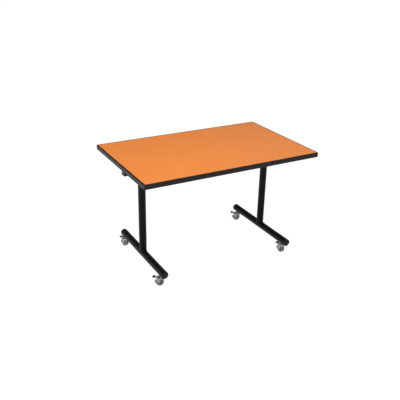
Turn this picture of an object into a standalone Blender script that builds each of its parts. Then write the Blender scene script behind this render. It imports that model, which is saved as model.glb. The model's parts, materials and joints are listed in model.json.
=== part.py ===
"""Mobile folding table: a tilting laminate top on a two-legged base with four braked casters.

Sizes are in metres. X runs along the table, Y from front to rear and Z up. The origin is on the
floor under the middle of the top. The top lies flat and its lock is drawn back.
"""
import math

import bmesh
import bpy
from mathutils import Matrix, Vector

# Clearances
FIT_GAP = 0.0003
RUNNING_GAP = 0.0005

# Table top
TABLE_HEIGHT = 0.7366
TOP_LENGTH = 1.219
TOP_DEPTH = 0.762
TOP_THICKNESS = 0.030
TOP_CORNER_RADIUS = 0.014
LEAST_CORNER_RADIUS = 0.0015
BAND_WIDTH = 0.010
BAND_ROUNDING = 0.0045
TONGUE_DEPTH = 0.008
TONGUE_THICKNESS = 0.004
LAMINATE_THICKNESS = 0.0012
BACKER_THICKNESS = 0.0010

# Beam under the top
BEAM_DEPTH = 0.040
BEAM_HEIGHT = 0.050
BEAM_WALL = 0.0025
BEAM_CORNER_RADIUS = 0.004
BEAM_DROP = 0.005
BEAM_INSET = 0.029
BEAM_CAP_FLANGE = 0.003
BEAM_CAP_PLUG = 0.018
STOP_STRIP_INSET = 0.0372
STOP_STRIP_WIDTH = 0.018
BUMPER_RADIUS = 0.009
BUMPER_ROUNDING = 0.002

# Tilt hinges
HINGE_FROM_LEG = 0.108
HINGE_LENGTH = 0.120
KNUCKLE_RADIUS = 0.007
KNUCKLE_LENGTH = 0.036
HINGE_PIN_RADIUS = 0.004
HINGE_PIN_HEAD = 0.003
HINGE_PIN_HEAD_RADIUS = 0.0056
LEAF_THICKNESS = 0.003
BASE_LEAF_WIDTH = 0.042
TOP_LEAF_WIDTH = 0.048

# Lock bar
LOCK_REACH = 0.0615
LOCK_DROP = 0.0205
LOCK_ROD_RADIUS = 0.007
LOCK_ROD_END = 0.040
LOCK_ROD_CHAMFER = 0.0014
LOCK_NECK_RADIUS = 0.0035
LOCK_EAR_FROM_LEG = 0.158
LOCK_EAR_THICKNESS = 0.005
LOCK_EAR_RIM = 0.0065
LOCK_EAR_HEADROOM = 0.004
LOCK_EAR_SHOULDER = 0.008
LOCK_SLOT_PLAY = 0.0015
NECK_PLAY = 0.0015
GUIDE_FROM_EAR = 0.140
GUIDE_LENGTH = 0.018
GUIDE_WALL = 0.004
GUIDE_FLANGE_HALF = 0.024
GUIDE_FLANGE_THICKNESS = 0.004
HANDLE_THICKNESS = 0.010
HANDLE_BAR = 0.008
HANDLE_LENGTH = 0.105
HANDLE_FALL = 0.022
HANDLE_GRIP_LENGTH = 0.046
HANDLE_GRIP_WALL = 0.003
HANDLE_GRIP_WIDTH = 0.024

# Legs
LEG_INSET = 0.150
COLUMN_DIAMETER = 0.048
COLUMN_WALL = 0.002
FOOT_DIAMETER = 0.048
FOOT_WALL = 0.002
FOOT_LENGTH = 0.645
FOOT_CAP_DOME = 0.004
FOOT_CAP_FULLNESS = 0.5
FOOT_CAP_PLUG = 0.016
LEG_PLATE_LENGTH = 0.124
LEG_PLATE_DEPTH = 0.058
LEG_PLATE_THICKNESS = 0.005
LEG_PLATE_CORNER = 0.008
LEG_BOLT_SPREAD = 0.046
LEG_BOLT_RADIUS = 0.004
LEG_BOLT_HEAD_RADIUS = 0.0075
LEG_BOLT_HEAD = 0.0055
LEG_BOLT_END = 0.009

# Casters, each trailing along its own -X, with its axle along its own Y
CASTER_INSET = 0.0385
CASTER_HEADINGS = {"front_left": 42.0, "front_right": 80.0, "rear_left": 70.0, "rear_right": 48.0}
SWIVEL_HEIGHT = 0.009
WHEEL_RADIUS = 0.025
TYRE_WIDTH = 0.024
TYRE_ROUNDING = 0.004
RIM_RADIUS = 0.0175
HUB_BOSS_RADIUS = 0.007
HUB_WEB = 0.008
HUB_RIM = 0.0025
TRAIL = 0.015
AXLE_RADIUS = 0.003
AXLE_HEAD_RADIUS = 0.0055
AXLE_HEAD = 0.003
FORK_GAP = 0.0145
FORK_WALL = 0.0025
FORK_EYE_RADIUS = 0.0075
FORK_LEG_FRONT = -0.004
CROWN_RISE = 0.0051
CROWN_FRONT = 0.016
CROWN_REAR = 0.016
RACE_RADIUS = 0.0160
STEM_RADIUS = 0.005
STEM_FLANGE_RADIUS = 0.0172
STEM_FLANGE = 0.0025
STEM_LENGTH = 0.034
STEM_CHAMFER = 0.001
STEM_RIVET_RADIUS = 0.0075
STEM_RIVET = 0.0025
SOCKET_RADIUS = 0.009
SOCKET_LENGTH = 0.030
SOCKET_STAND = 0.001
PEDAL_PIVOT_BACK = 0.015
PEDAL_BARREL_RADIUS = 0.004
PEDAL_PIN_RADIUS = 0.002
PEDAL_WIDTH = 0.022
PEDAL_THICKNESS = 0.003
PEDAL_LENGTH = 0.030
PEDAL_RISE = 0.002
SHOE_GAP = 0.0038
SHOE_THICKNESS = 0.003
SHOE_END_ANGLE = 196.0

# Facets
ROUND_SIDES = 32
WHEEL_SIDES = 24
SMALL_SIDES = 12
PIN_SIDES = 8
RACE_SIDES = 18
CORNER_STEPS = 4
TYRE_STEPS = 2
ARC_STEPS = 6
SMOOTH_ANGLE = math.radians(40)

# Places worked out from the sizes above
UNDERSIDE = TABLE_HEIGHT - TOP_THICKNESS
BEAM_TOP = UNDERSIDE - BEAM_DROP
BEAM_BOTTOM = BEAM_TOP - BEAM_HEIGHT
BEAM_FACE = BEAM_DEPTH / 2
BEAM_END = TOP_LENGTH / 2 - BEAM_INSET - BEAM_CAP_FLANGE - FIT_GAP
LEG_SPREAD = TOP_LENGTH / 2 - LEG_INSET
HINGE_PLACE = LEG_SPREAD - HINGE_FROM_LEG
LOCK_EAR_PLACE = LEG_SPREAD - LOCK_EAR_FROM_LEG
GUIDE_PLACE = LOCK_EAR_PLACE - GUIDE_FROM_EAR
LOCK_ROD_HALF = LOCK_EAR_PLACE + LOCK_ROD_END
PIVOT_DROP = FIT_GAP + KNUCKLE_RADIUS
PIVOT = Vector((0.0, -(BEAM_FACE + FIT_GAP + KNUCKLE_RADIUS), UNDERSIDE - PIVOT_DROP))
TILTED_UNDERSIDE = PIVOT.y - PIVOT_DROP
LOCK_LINE = Vector((0.0, LOCK_REACH, UNDERSIDE - LOCK_DROP))
LOCK_BORE = LOCK_ROD_RADIUS + RUNNING_GAP
LEG_PLATE_TOP = BEAM_BOTTOM - FIT_GAP
COLUMN_TOP = LEG_PLATE_TOP - LEG_PLATE_THICKNESS - FIT_GAP
FOOT_RADIUS = FOOT_DIAMETER / 2
FORK_OUTER = FORK_GAP + FORK_WALL
CROWN_BOTTOM = 2 * WHEEL_RADIUS + CROWN_RISE
CROWN_TOP = CROWN_BOTTOM + FORK_WALL
CASTER_HEIGHT = CROWN_TOP + SWIVEL_HEIGHT
CASTER_SPREAD = FOOT_LENGTH / 2 - CASTER_INSET
FOOT_AXIS = CASTER_HEIGHT + SOCKET_STAND + FOOT_RADIUS
FLANGE_TOP = CASTER_HEIGHT - FIT_GAP
FLANGE_BOTTOM = FLANGE_TOP - STEM_FLANGE
RACE_TOP = FLANGE_BOTTOM - FIT_GAP
WHEEL_CENTRE = Vector((-TRAIL, 0.0, WHEEL_RADIUS))
PEDAL_PIVOT = Vector((-TRAIL - PEDAL_PIVOT_BACK, 0.0, CROWN_TOP - PEDAL_BARREL_RADIUS))
SIDES = (("left", -1), ("right", 1))
ENDS = (("front", -1), ("rear", 1))


def clear_scene():
    for old in list(bpy.data.objects):
        bpy.data.objects.remove(old)


# Finishes
def finish(name, colour, roughness, metallic=0.0):
    material = bpy.data.materials.new(name)
    material.use_nodes = True
    shader = material.node_tree.nodes["Principled BSDF"]
    shader.inputs["Base Color"].default_value = (*colour, 1.0)
    shader.inputs["Roughness"].default_value = roughness
    shader.inputs["Metallic"].default_value = metallic
    material.diffuse_color = (*colour, 1.0)
    return material


def make_finishes():
    return {
        "laminate": finish("orange_laminate", (0.86, 0.28, 0.07), 0.45),
        "board": finish("particle_board", (0.45, 0.32, 0.20), 0.85),
        "backer": finish("grey_backer", (0.10, 0.10, 0.10), 0.65),
        "band": finish("black_vinyl", (0.022, 0.021, 0.021), 0.5),
        "coat": finish("black_powder_coat", (0.012, 0.011, 0.011), 0.38),
        "plastic": finish("black_plastic", (0.020, 0.020, 0.020), 0.45),
        "rubber": finish("black_rubber", (0.018, 0.018, 0.018), 0.8),
        "zinc": finish("bright_zinc", (0.62, 0.63, 0.64), 0.3, 1.0),
        "tyre": finish("grey_tyre", (0.16, 0.165, 0.14), 0.6),
        "hub": finish("grey_hub", (0.12, 0.125, 0.11), 0.5),
        "pedal": finish("pressed_steel", (0.45, 0.46, 0.47), 0.4, 1.0),
    }


# Outlines in a plane
def arc(centre, radius, start, stop, steps):
    points = []
    for step in range(steps + 1):
        angle = math.radians(start + (stop - start) * step / steps)
        points.append((centre[0] + radius * math.cos(angle), centre[1] + radius * math.sin(angle)))
    return points


def circle(centre, radius, sides):
    return arc(centre, radius, 0.0, 360.0, sides)[:-1]


def rectangle(low, high):
    return [(low[0], low[1]), (high[0], low[1]), (high[0], high[1]), (low[0], high[1])]


def rounded_rectangle(half_width, half_height, radius, centre=(0.0, 0.0)):
    points = []
    quarters = ((1, 1, 0.0), (-1, 1, 90.0), (-1, -1, 180.0), (1, -1, 270.0))
    for side, end, start in quarters:
        corner = (centre[0] + side * (half_width - radius), centre[1] + end * (half_height - radius))
        points += arc(corner, radius, start, start + 90.0, CORNER_STEPS)
    return points


def turn(first, second, third):
    along = (second[0] - first[0], second[1] - first[1])
    across = (third[0] - first[0], third[1] - first[1])
    return along[0] * across[1] - along[1] * across[0]


def wrapped(points):
    """Return the outline of a band stretched round the points."""
    ordered = sorted(set((round(u, 7), round(v, 7)) for u, v in points))
    halves = []
    for run in (ordered, ordered[::-1]):
        half = []
        for point in run:
            while len(half) > 1 and turn(half[-2], half[-1], point) <= 0.0:
                half.pop()
            half.append(point)
        halves += half[:-1]
    return halves


# Solids
def spot(u, v, w, axis):
    if axis == "X":
        return (w, u, v)
    if axis == "Y":
        return (u, w, v)
    return (u, v, w)


def ring_faces(body, first, second):
    for index in range(len(first)):
        after = (index + 1) % len(first)
        body.faces.new((first[index], first[after], second[after], second[index]))


def prism(outline, low, high, axis, holes=()):
    """Extrude an outline, and any holes in it, from low to high along an axis."""
    body = bmesh.new()
    caps = ([], [])
    for loop in (outline, *holes):
        rings = []
        for level in (low, high):
            rings.append([body.verts.new(spot(u, v, level, axis)) for u, v in loop])
        ring_faces(body, *rings)
        for cap, ring in zip(caps, rings):
            cap.append(ring)
    for cap in caps:
        if holes:
            edges = []
            for ring in cap:
                edges += [body.edges.get((ring[i - 1], ring[i])) for i in range(len(ring))]
            bmesh.ops.triangle_fill(body, use_beauty=True, edges=edges)
        else:
            body.faces.new(cap[0])
    return body


def box(low, high):
    return prism(rectangle(low[:2], high[:2]), low[2], high[2], "Z")


def turned(profile, sides, axis="Z", first_angle=0.0):
    """Spin (radius, height) points about an axis; a profile that leaves the axis closes on itself."""
    body = bmesh.new()
    rings = []
    for radius, height in profile:
        if radius == 0.0:
            rings.append([body.verts.new(spot(0.0, 0.0, height, axis))])
            continue
        flat = circle((0.0, 0.0), radius, sides)
        swing = Matrix.Rotation(first_angle, 2)
        placed = [swing @ Vector(point) for point in flat]
        rings.append([body.verts.new(spot(point.x, point.y, height, axis)) for point in placed])
    pairs = list(zip(rings, rings[1:]))
    if profile[0][0] > 0.0:
        pairs.append((rings[-1], rings[0]))
    for lower, upper in pairs:
        if len(lower) > 1 and len(upper) > 1:
            ring_faces(body, lower, upper)
            continue
        tip, rim = (lower, upper) if len(lower) == 1 else (upper, lower)
        for index in range(sides):
            body.faces.new((tip[0], rim[index], rim[(index + 1) % sides]))
    return body


def rod(radius, low, high, sides, axis="Z"):
    return prism(circle((0.0, 0.0), radius, sides), low, high, axis)


def tube(radius, wall, low, high, axis):
    bore = circle((0.0, 0.0), radius - wall, ROUND_SIDES)
    return prism(circle((0.0, 0.0), radius, ROUND_SIDES), low, high, axis, [bore])


def moved(body, place):
    bmesh.ops.translate(body, vec=Vector(place), verts=body.verts)
    return body


def as_mesh(body, name):
    bmesh.ops.recalc_face_normals(body, faces=body.faces)
    mesh = bpy.data.meshes.new(name)
    body.to_mesh(mesh)
    body.free()
    return mesh


def gathered(bodies):
    """Return several bodies as one, each still a solid of its own."""
    group = bmesh.new()
    for body in bodies:
        mesh = as_mesh(body, "member")
        group.from_mesh(mesh)
        bpy.data.meshes.remove(mesh)
    return group


def combined(body, tool, operation):
    """Join a tool to a body, or cut it out of the body."""
    pair = []
    for name, shape in (("body", body), ("tool", tool)):
        holder = bpy.data.objects.new(name, as_mesh(shape, name))
        bpy.context.scene.collection.objects.link(holder)
        pair.append(holder)
    step = pair[0].modifiers.new("combine", "BOOLEAN")
    step.operation = operation
    step.solver = "EXACT"
    step.object = pair[1]
    graph = bpy.context.evaluated_depsgraph_get()
    mesh = bpy.data.meshes.new_from_object(pair[0].evaluated_get(graph))
    result = bmesh.new()
    result.from_mesh(mesh)
    bpy.data.meshes.remove(mesh)
    for holder in pair:
        old = holder.data
        bpy.data.objects.remove(holder)
        bpy.data.meshes.remove(old)
    return result


def cut(body, tools):
    return combined(body, gathered(tools), "DIFFERENCE")


def joined(bodies):
    whole = bodies[0]
    for body in bodies[1:]:
        whole = combined(whole, body, "UNION")
    return whole


# Objects
def axis_empty(name, place, parent=None, heading=0.0):
    empty = bpy.data.objects.new(name, None)
    empty.location = place
    empty.rotation_euler = (0.0, 0.0, heading)
    empty.parent = parent
    bpy.context.scene.collection.objects.link(empty)
    return empty


def add_object(name, mesh, material, parent=None):
    if not mesh.materials:
        mesh.materials.append(material)
    mesh.shade_smooth()
    mesh.set_sharp_from_angle(angle=SMOOTH_ANGLE)
    piece = bpy.data.objects.new(name, mesh)
    piece.parent = parent
    bpy.context.scene.collection.objects.link(piece)
    return piece


def add(name, body, material, parent=None, origin=(0.0, 0.0, 0.0)):
    """Add a body that is drawn in the table's frame, measured from its parent's origin."""
    moved(body, -Vector(origin))
    return add_object(name, as_mesh(body, name), material, parent)


# Table top
def top_outline(inset):
    radius = max(TOP_CORNER_RADIUS - inset, LEAST_CORNER_RADIUS)
    return rounded_rectangle(TOP_LENGTH / 2 - inset, TOP_DEPTH / 2 - inset, radius)


def skinned(sections, closed):
    """Skin outlines of the top given as (inset, height), closed on themselves or capped."""
    body = bmesh.new()
    rings = []
    for inset, height in sections:
        rings.append([body.verts.new((x, y, height)) for x, y in top_outline(inset)])
    for lower, upper in zip(rings, rings[1:]):
        ring_faces(body, lower, upper)
    if closed:
        ring_faces(body, rings[-1], rings[0])
    else:
        body.faces.new(rings[0])
        body.faces.new(rings[-1])
    return body


def band_body():
    middle = (UNDERSIDE + TABLE_HEIGHT) / 2
    tongue_end = BAND_WIDTH + TONGUE_DEPTH
    upper = arc((BAND_ROUNDING, TABLE_HEIGHT - BAND_ROUNDING), BAND_ROUNDING, 90.0, 180.0, CORNER_STEPS)
    lower = arc((BAND_ROUNDING, UNDERSIDE + BAND_ROUNDING), BAND_ROUNDING, 180.0, 270.0, CORNER_STEPS)
    sections = [(BAND_WIDTH, TABLE_HEIGHT), *upper, *lower, (BAND_WIDTH, UNDERSIDE)]
    for inset, side in ((BAND_WIDTH, -1), (tongue_end, -1), (tongue_end, 1), (BAND_WIDTH, 1)):
        sections.append((inset, middle + side * TONGUE_THICKNESS / 2))
    return skinned(sections, closed=True)


def core_body():
    middle = (UNDERSIDE + TABLE_HEIGHT) / 2
    edge = BAND_WIDTH + FIT_GAP
    groove = edge + TONGUE_DEPTH
    half = TONGUE_THICKNESS / 2 + FIT_GAP
    sections = [
        (edge, UNDERSIDE + BACKER_THICKNESS + FIT_GAP),
        (edge, middle - half),
        (groove, middle - half),
        (groove, middle + half),
        (edge, middle + half),
        (edge, TABLE_HEIGHT - LAMINATE_THICKNESS - FIT_GAP),
    ]
    return skinned(sections, closed=False)


def build_top(finishes, tilt_axis):
    sheet = top_outline(BAND_WIDTH + FIT_GAP)
    laminate = prism(sheet, TABLE_HEIGHT - LAMINATE_THICKNESS, TABLE_HEIGHT, "Z")
    backer = prism(sheet, UNDERSIDE, UNDERSIDE + BACKER_THICKNESS, "Z")
    add("laminate_sheet", laminate, finishes["laminate"], tilt_axis, PIVOT)
    add("core_board", core_body(), finishes["board"], tilt_axis, PIVOT)
    add("backer_sheet", backer, finishes["backer"], tilt_axis, PIVOT)
    add("edge_band", band_body(), finishes["band"], tilt_axis, PIVOT)


# Tilt hinges
def knuckle_outline():
    """Return a knuckle with the web that carries it, drawn round the pin."""
    inner = KNUCKLE_RADIUS - LEAF_THICKNESS
    start = math.degrees(math.acos(inner / KNUCKLE_RADIUS))
    web_end = -(KNUCKLE_RADIUS + RUNNING_GAP + LEAF_THICKNESS / 2)
    points = arc((0.0, 0.0), KNUCKLE_RADIUS, 0.0, 360.0 - start, 2 * ARC_STEPS)
    return points + [(inner, web_end), (KNUCKLE_RADIUS, web_end)]


def knuckle_body(middle, length, flipped):
    outline = knuckle_outline()
    if flipped:
        outline = [(v, u) for u, v in outline]
    return prism(outline, middle - length / 2, middle + length / 2, "X")


def base_leaf_body():
    """Return the leaf on the beam, with two knuckles, drawn round the pin's middle."""
    top = -(KNUCKLE_RADIUS + RUNNING_GAP)
    outline = rectangle((-HINGE_LENGTH / 2, -BASE_LEAF_WIDTH), (HINGE_LENGTH / 2, top))
    plate = prism(outline, KNUCKLE_RADIUS - LEAF_THICKNESS, KNUCKLE_RADIUS, "Y")
    outer = (HINGE_LENGTH - KNUCKLE_LENGTH) / 2
    knuckles = [knuckle_body(side * outer, KNUCKLE_LENGTH, False) for _, side in SIDES]
    bore = rod(HINGE_PIN_RADIUS + FIT_GAP, -HINGE_LENGTH, HINGE_LENGTH, SMALL_SIDES, "X")
    return cut(joined([plate, *knuckles]), [bore])


def top_leaf_body():
    """Return the leaf under the board, with one knuckle, drawn round the pin's middle."""
    near = -(KNUCKLE_RADIUS + RUNNING_GAP)
    outline = rectangle((-HINGE_LENGTH / 2, -TOP_LEAF_WIDTH), (HINGE_LENGTH / 2, near))
    plate = prism(outline, KNUCKLE_RADIUS - LEAF_THICKNESS, KNUCKLE_RADIUS, "Z")
    length = HINGE_LENGTH - 2 * KNUCKLE_LENGTH - 2 * RUNNING_GAP
    bore = rod(HINGE_PIN_RADIUS + FIT_GAP, -HINGE_LENGTH, HINGE_LENGTH, SMALL_SIDES, "X")
    return cut(joined([plate, knuckle_body(0.0, length, True)]), [bore])


def hinge_pin_body():
    half = HINGE_LENGTH / 2 + FIT_GAP
    head = half + HINGE_PIN_HEAD
    profile = [(0.0, -head), (HINGE_PIN_HEAD_RADIUS, -head), (HINGE_PIN_HEAD_RADIUS, -half)]
    profile += [(HINGE_PIN_RADIUS, -half), (HINGE_PIN_RADIUS, half)]
    profile += [(HINGE_PIN_HEAD_RADIUS, half), (HINGE_PIN_HEAD_RADIUS, head), (0.0, head)]
    return turned(profile, SMALL_SIDES, "X")


def build_hinges(finishes, tilt_axis):
    for name, side in SIDES:
        place = Vector((side * HINGE_PLACE, PIVOT.y, PIVOT.z))
        base_leaf = moved(base_leaf_body(), place)
        top_leaf = moved(top_leaf_body(), place)
        add("hinge_base_leaf_" + name, base_leaf, finishes["coat"])
        add("hinge_top_leaf_" + name, top_leaf, finishes["coat"], tilt_axis, PIVOT)
        add("hinge_pin_" + name, moved(hinge_pin_body(), place), finishes["zinc"])


# Beam
def beam_outline(inset):
    radius = max(BEAM_CORNER_RADIUS - inset, LEAST_CORNER_RADIUS)
    middle = (BEAM_TOP + BEAM_BOTTOM) / 2
    return rounded_rectangle(BEAM_FACE - inset, BEAM_HEIGHT / 2 - inset, radius, (0.0, middle))


def leg_bolt_places():
    """Return each leg bolt's name and its X."""
    places = []
    for name, side in SIDES:
        for row, reach in (("inner", -LEG_BOLT_SPREAD), ("outer", LEG_BOLT_SPREAD)):
            places.append((name + "_" + row, side * (LEG_SPREAD + reach)))
    return places


def beam_body():
    tools = []
    low = BEAM_BOTTOM - BEAM_WALL
    high = BEAM_BOTTOM + 2 * BEAM_WALL
    for _, place in leg_bolt_places():
        hole = rod(LEG_BOLT_RADIUS + FIT_GAP, low, high, SMALL_SIDES)
        tools.append(moved(hole, (place, 0.0, 0.0)))
    shell = prism(beam_outline(0.0), -BEAM_END, BEAM_END, "X", [beam_outline(BEAM_WALL)])
    return cut(shell, tools)


def beam_cap_body(side):
    """Return a beam end cap: a flange over the tube's end and a plug inside it."""
    face = BEAM_END + FIT_GAP
    flange = prism(beam_outline(0.0), side * face, side * (face + BEAM_CAP_FLANGE), "X")
    plug_outline = beam_outline(BEAM_WALL + FIT_GAP)
    root = face + BEAM_CAP_FLANGE / 2
    plug = prism(plug_outline, side * (face - BEAM_CAP_PLUG), side * root, "X")
    return joined([flange, plug])


def stop_strip_body():
    """Return the rubber strip on the beam that the flat top rests on."""
    half = (BEAM_END - STOP_STRIP_INSET, STOP_STRIP_WIDTH / 2)
    return box((-half[0], -half[1], BEAM_TOP + FIT_GAP), (half[0], half[1], UNDERSIDE - FIT_GAP))


def tilt_bumper_body():
    """Return a bumper on the beam's front that the tilted top comes to rest against."""
    near = -(BEAM_FACE + FIT_GAP)
    far = TILTED_UNDERSIDE + FIT_GAP
    profile = [(0.0, near), (BUMPER_RADIUS, near), (BUMPER_RADIUS, far + BUMPER_ROUNDING)]
    profile += [(BUMPER_RADIUS - BUMPER_ROUNDING, far), (0.0, far)]
    return turned(profile, SMALL_SIDES, "Y")


def build_beam(finishes):
    middle = (BEAM_TOP + BEAM_BOTTOM) / 2
    add("beam", beam_body(), finishes["coat"])
    for name, side in SIDES:
        add("beam_end_cap_" + name, beam_cap_body(side), finishes["plastic"])
    add("stop_strip", stop_strip_body(), finishes["rubber"])
    add("tilt_bumper", moved(tilt_bumper_body(), (0.0, 0.0, middle)), finishes["rubber"])


# Lock bar
def lock_rod_body():
    """Return the rod, with a neck at each ear that lifts out of the ear's slot."""
    half = LOCK_ROD_HALF
    neck_half = LOCK_EAR_THICKNESS / 2 + NECK_PLAY
    end_radius = LOCK_ROD_RADIUS - LOCK_ROD_CHAMFER
    profile = [(0.0, -half), (end_radius, -half), (LOCK_ROD_RADIUS, LOCK_ROD_CHAMFER - half)]
    for _, side in SIDES:
        low = side * LOCK_EAR_PLACE - neck_half
        high = side * LOCK_EAR_PLACE + neck_half
        profile += [(LOCK_ROD_RADIUS, low), (LOCK_NECK_RADIUS, low)]
        profile += [(LOCK_NECK_RADIUS, high), (LOCK_ROD_RADIUS, high)]
    profile += [(LOCK_ROD_RADIUS, half - LOCK_ROD_CHAMFER), (end_radius, half), (0.0, half)]
    return turned(profile, SMALL_SIDES, "X")


def lock_ear_outline():
    """Return an ear with a round seat for the rod and a narrower slot up out of it."""
    root = BEAM_FACE + FIT_GAP - LOCK_LINE.y
    rim = LOCK_BORE + LOCK_EAR_RIM
    top = LOCK_DROP - LOCK_EAR_HEADROOM
    slot = LOCK_NECK_RADIUS + LOCK_SLOT_PLAY
    opening = math.degrees(math.acos(slot / LOCK_BORE))
    seat = arc((0.0, 0.0), LOCK_BORE, opening, -180.0 - opening, 2 * ARC_STEPS)
    outer = arc((0.0, 0.0), rim, 270.0, 360.0, ARC_STEPS)
    near = [(-slot, top), (-rim, top), (root, LOCK_EAR_SHOULDER), (root, -rim)]
    return [*outer, (rim, top), (slot, top), *seat, *near]


def lock_ear_body():
    half = LOCK_EAR_THICKNESS / 2
    return prism(lock_ear_outline(), -half, half, "X")


def guide_body():
    """Return a guide block under the board that the rod slides in."""
    half = LOCK_BORE + GUIDE_WALL
    top = LOCK_DROP - FIT_GAP
    flange = top - GUIDE_FLANGE_THICKNESS
    outline = [*arc((0.0, 0.0), half, 180.0, 360.0, 2 * ARC_STEPS), (half, flange)]
    outline += [(GUIDE_FLANGE_HALF, flange), (GUIDE_FLANGE_HALF, top)]
    outline += [(-GUIDE_FLANGE_HALF, top), (-GUIDE_FLANGE_HALF, flange), (-half, flange)]
    bore = circle((0.0, 0.0), LOCK_BORE, SMALL_SIDES)
    return prism(outline, -GUIDE_LENGTH / 2, GUIDE_LENGTH / 2, "X", [bore])


def handle_frame():
    """Return the handle bar's direction and the direction square to it, in the plane of Y and Z."""
    along = Vector((HANDLE_LENGTH, -HANDLE_FALL)).normalized()
    return along, Vector((-along.y, along.x))


def strip(along, across, start, stop, half):
    """Return a straight strip, half to each side of a line from the origin."""
    corners = ((start, -half), (stop, -half), (stop, half), (start, half))
    return [tuple(along * reach + across * side) for reach, side in corners]


def tip_cover(along, across, tip, half, length, wall):
    """Return a cover that wraps the end of a strip on three sides."""
    inner = half + FIT_GAP
    outer = inner + wall
    end = tip + FIT_GAP
    corners = ((tip - length, -outer), (end + wall, -outer), (end + wall, outer), (tip - length, outer))
    slot = ((tip - length, inner), (end, inner), (end, -inner), (tip - length, -inner))
    return [tuple(along * reach + across * side) for reach, side in corners + slot]


def handle_body():
    along, across = handle_frame()
    half = HANDLE_THICKNESS / 2
    boss = rod(LOCK_ROD_RADIUS + HANDLE_BAR / 2, -half, half, SMALL_SIDES, "X")
    bar = prism(strip(along, across, 0.0, HANDLE_LENGTH, HANDLE_BAR / 2), -half, half, "X")
    bore = rod(LOCK_ROD_RADIUS + FIT_GAP, -HANDLE_THICKNESS, HANDLE_THICKNESS, SMALL_SIDES, "X")
    return cut(joined([boss, bar]), [bore])


def handle_grip_body():
    along, across = handle_frame()
    outline = tip_cover(along, across, HANDLE_LENGTH, HANDLE_BAR / 2, HANDLE_GRIP_LENGTH, HANDLE_GRIP_WALL)
    return prism(outline, -HANDLE_GRIP_WIDTH / 2, HANDLE_GRIP_WIDTH / 2, "X")


def build_lock(finishes, tilt_axis, lock_axis):
    for name, side in SIDES:
        guide = moved(guide_body(), LOCK_LINE + Vector((side * GUIDE_PLACE, 0.0, 0.0)))
        add("rod_guide_" + name, guide, finishes["plastic"], tilt_axis, PIVOT)
        ear = moved(lock_ear_body(), LOCK_LINE + Vector((side * LOCK_EAR_PLACE, 0.0, 0.0)))
        add("lock_ear_" + name, ear, finishes["coat"])
    add("lock_rod", lock_rod_body(), finishes["zinc"], lock_axis)
    add("lock_handle", handle_body(), finishes["coat"], lock_axis)
    add("handle_grip", handle_grip_body(), finishes["plastic"], lock_axis)


# Legs
def column_body():
    """Return a column tube, cut at its foot to sit on the round foot tube."""
    column = tube(COLUMN_DIAMETER / 2, COLUMN_WALL, FOOT_AXIS, COLUMN_TOP, "Z")
    saddle = rod(FOOT_RADIUS + FIT_GAP, -COLUMN_DIAMETER, COLUMN_DIAMETER, ROUND_SIDES, "Y")
    return cut(column, [moved(saddle, (0.0, 0.0, FOOT_AXIS))])


def foot_body():
    """Return a foot tube with the threaded sockets welded into it that hold the casters."""
    shell = tube(FOOT_RADIUS, FOOT_WALL, -FOOT_LENGTH / 2, FOOT_LENGTH / 2, "Y")
    moved(shell, (0.0, 0.0, FOOT_AXIS))
    high = CASTER_HEIGHT + SOCKET_LENGTH
    sockets = []
    bores = []
    for _, end in ENDS:
        place = (0.0, end * CASTER_SPREAD, 0.0)
        sockets.append(moved(rod(SOCKET_RADIUS, CASTER_HEIGHT, high, SMALL_SIDES), place))
        bores.append(moved(rod(STEM_RADIUS + FIT_GAP, 0.0, high + FOOT_WALL, SMALL_SIDES), place))
    return cut(joined([shell, *sockets]), bores)


def foot_cap_body(end):
    """Return a foot's end plug: a plug in the tube and a low dome outside it."""
    plug = FOOT_RADIUS - FOOT_WALL - FIT_GAP
    face = FOOT_LENGTH / 2 + FIT_GAP
    profile = [(0.0, face - FOOT_CAP_PLUG), (plug, face - FOOT_CAP_PLUG), (plug, face), (FOOT_RADIUS, face)]
    for step in range(1, CORNER_STEPS):
        angle = math.radians(90.0 * step / CORNER_STEPS)
        radius = FOOT_RADIUS * math.cos(angle) ** FOOT_CAP_FULLNESS
        profile.append((radius, face + FOOT_CAP_DOME * math.sin(angle)))
    profile.append((0.0, face + FOOT_CAP_DOME))
    return turned([(radius, end * height) for radius, height in profile], ROUND_SIDES, "Y")


def leg_plate_body():
    outline = rounded_rectangle(LEG_PLATE_LENGTH / 2, LEG_PLATE_DEPTH / 2, LEG_PLATE_CORNER)
    holes = []
    for _, side in SIDES:
        holes.append(circle((side * LEG_BOLT_SPREAD, 0.0), LEG_BOLT_RADIUS + FIT_GAP, SMALL_SIDES))
    return prism(outline, LEG_PLATE_TOP - LEG_PLATE_THICKNESS, LEG_PLATE_TOP, "Z", holes)


def leg_bolt_body():
    seat = LEG_PLATE_TOP - LEG_PLATE_THICKNESS - FIT_GAP
    end = BEAM_BOTTOM + BEAM_WALL + LEG_BOLT_END
    profile = [(0.0, seat - LEG_BOLT_HEAD), (LEG_BOLT_HEAD_RADIUS, seat - LEG_BOLT_HEAD)]
    profile += [(LEG_BOLT_HEAD_RADIUS, seat), (LEG_BOLT_RADIUS, seat)]
    profile += [(LEG_BOLT_RADIUS, end), (0.0, end)]
    return turned(profile, SMALL_SIDES)


def build_legs(finishes):
    for name, side in SIDES:
        place = (side * LEG_SPREAD, 0.0, 0.0)
        add("leg_plate_" + name, moved(leg_plate_body(), place), finishes["coat"])
        add("column_" + name, moved(column_body(), place), finishes["coat"])
        add("foot_" + name, moved(foot_body(), place), finishes["coat"])
        for end_name, end in ENDS:
            cap = moved(foot_cap_body(end), (side * LEG_SPREAD, 0.0, FOOT_AXIS))
            add("foot_cap_" + end_name + "_" + name, cap, finishes["plastic"])
    for name, place in leg_bolt_places():
        add("leg_bolt_" + name, moved(leg_bolt_body(), (place, 0.0, 0.0)), finishes["zinc"])


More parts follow.
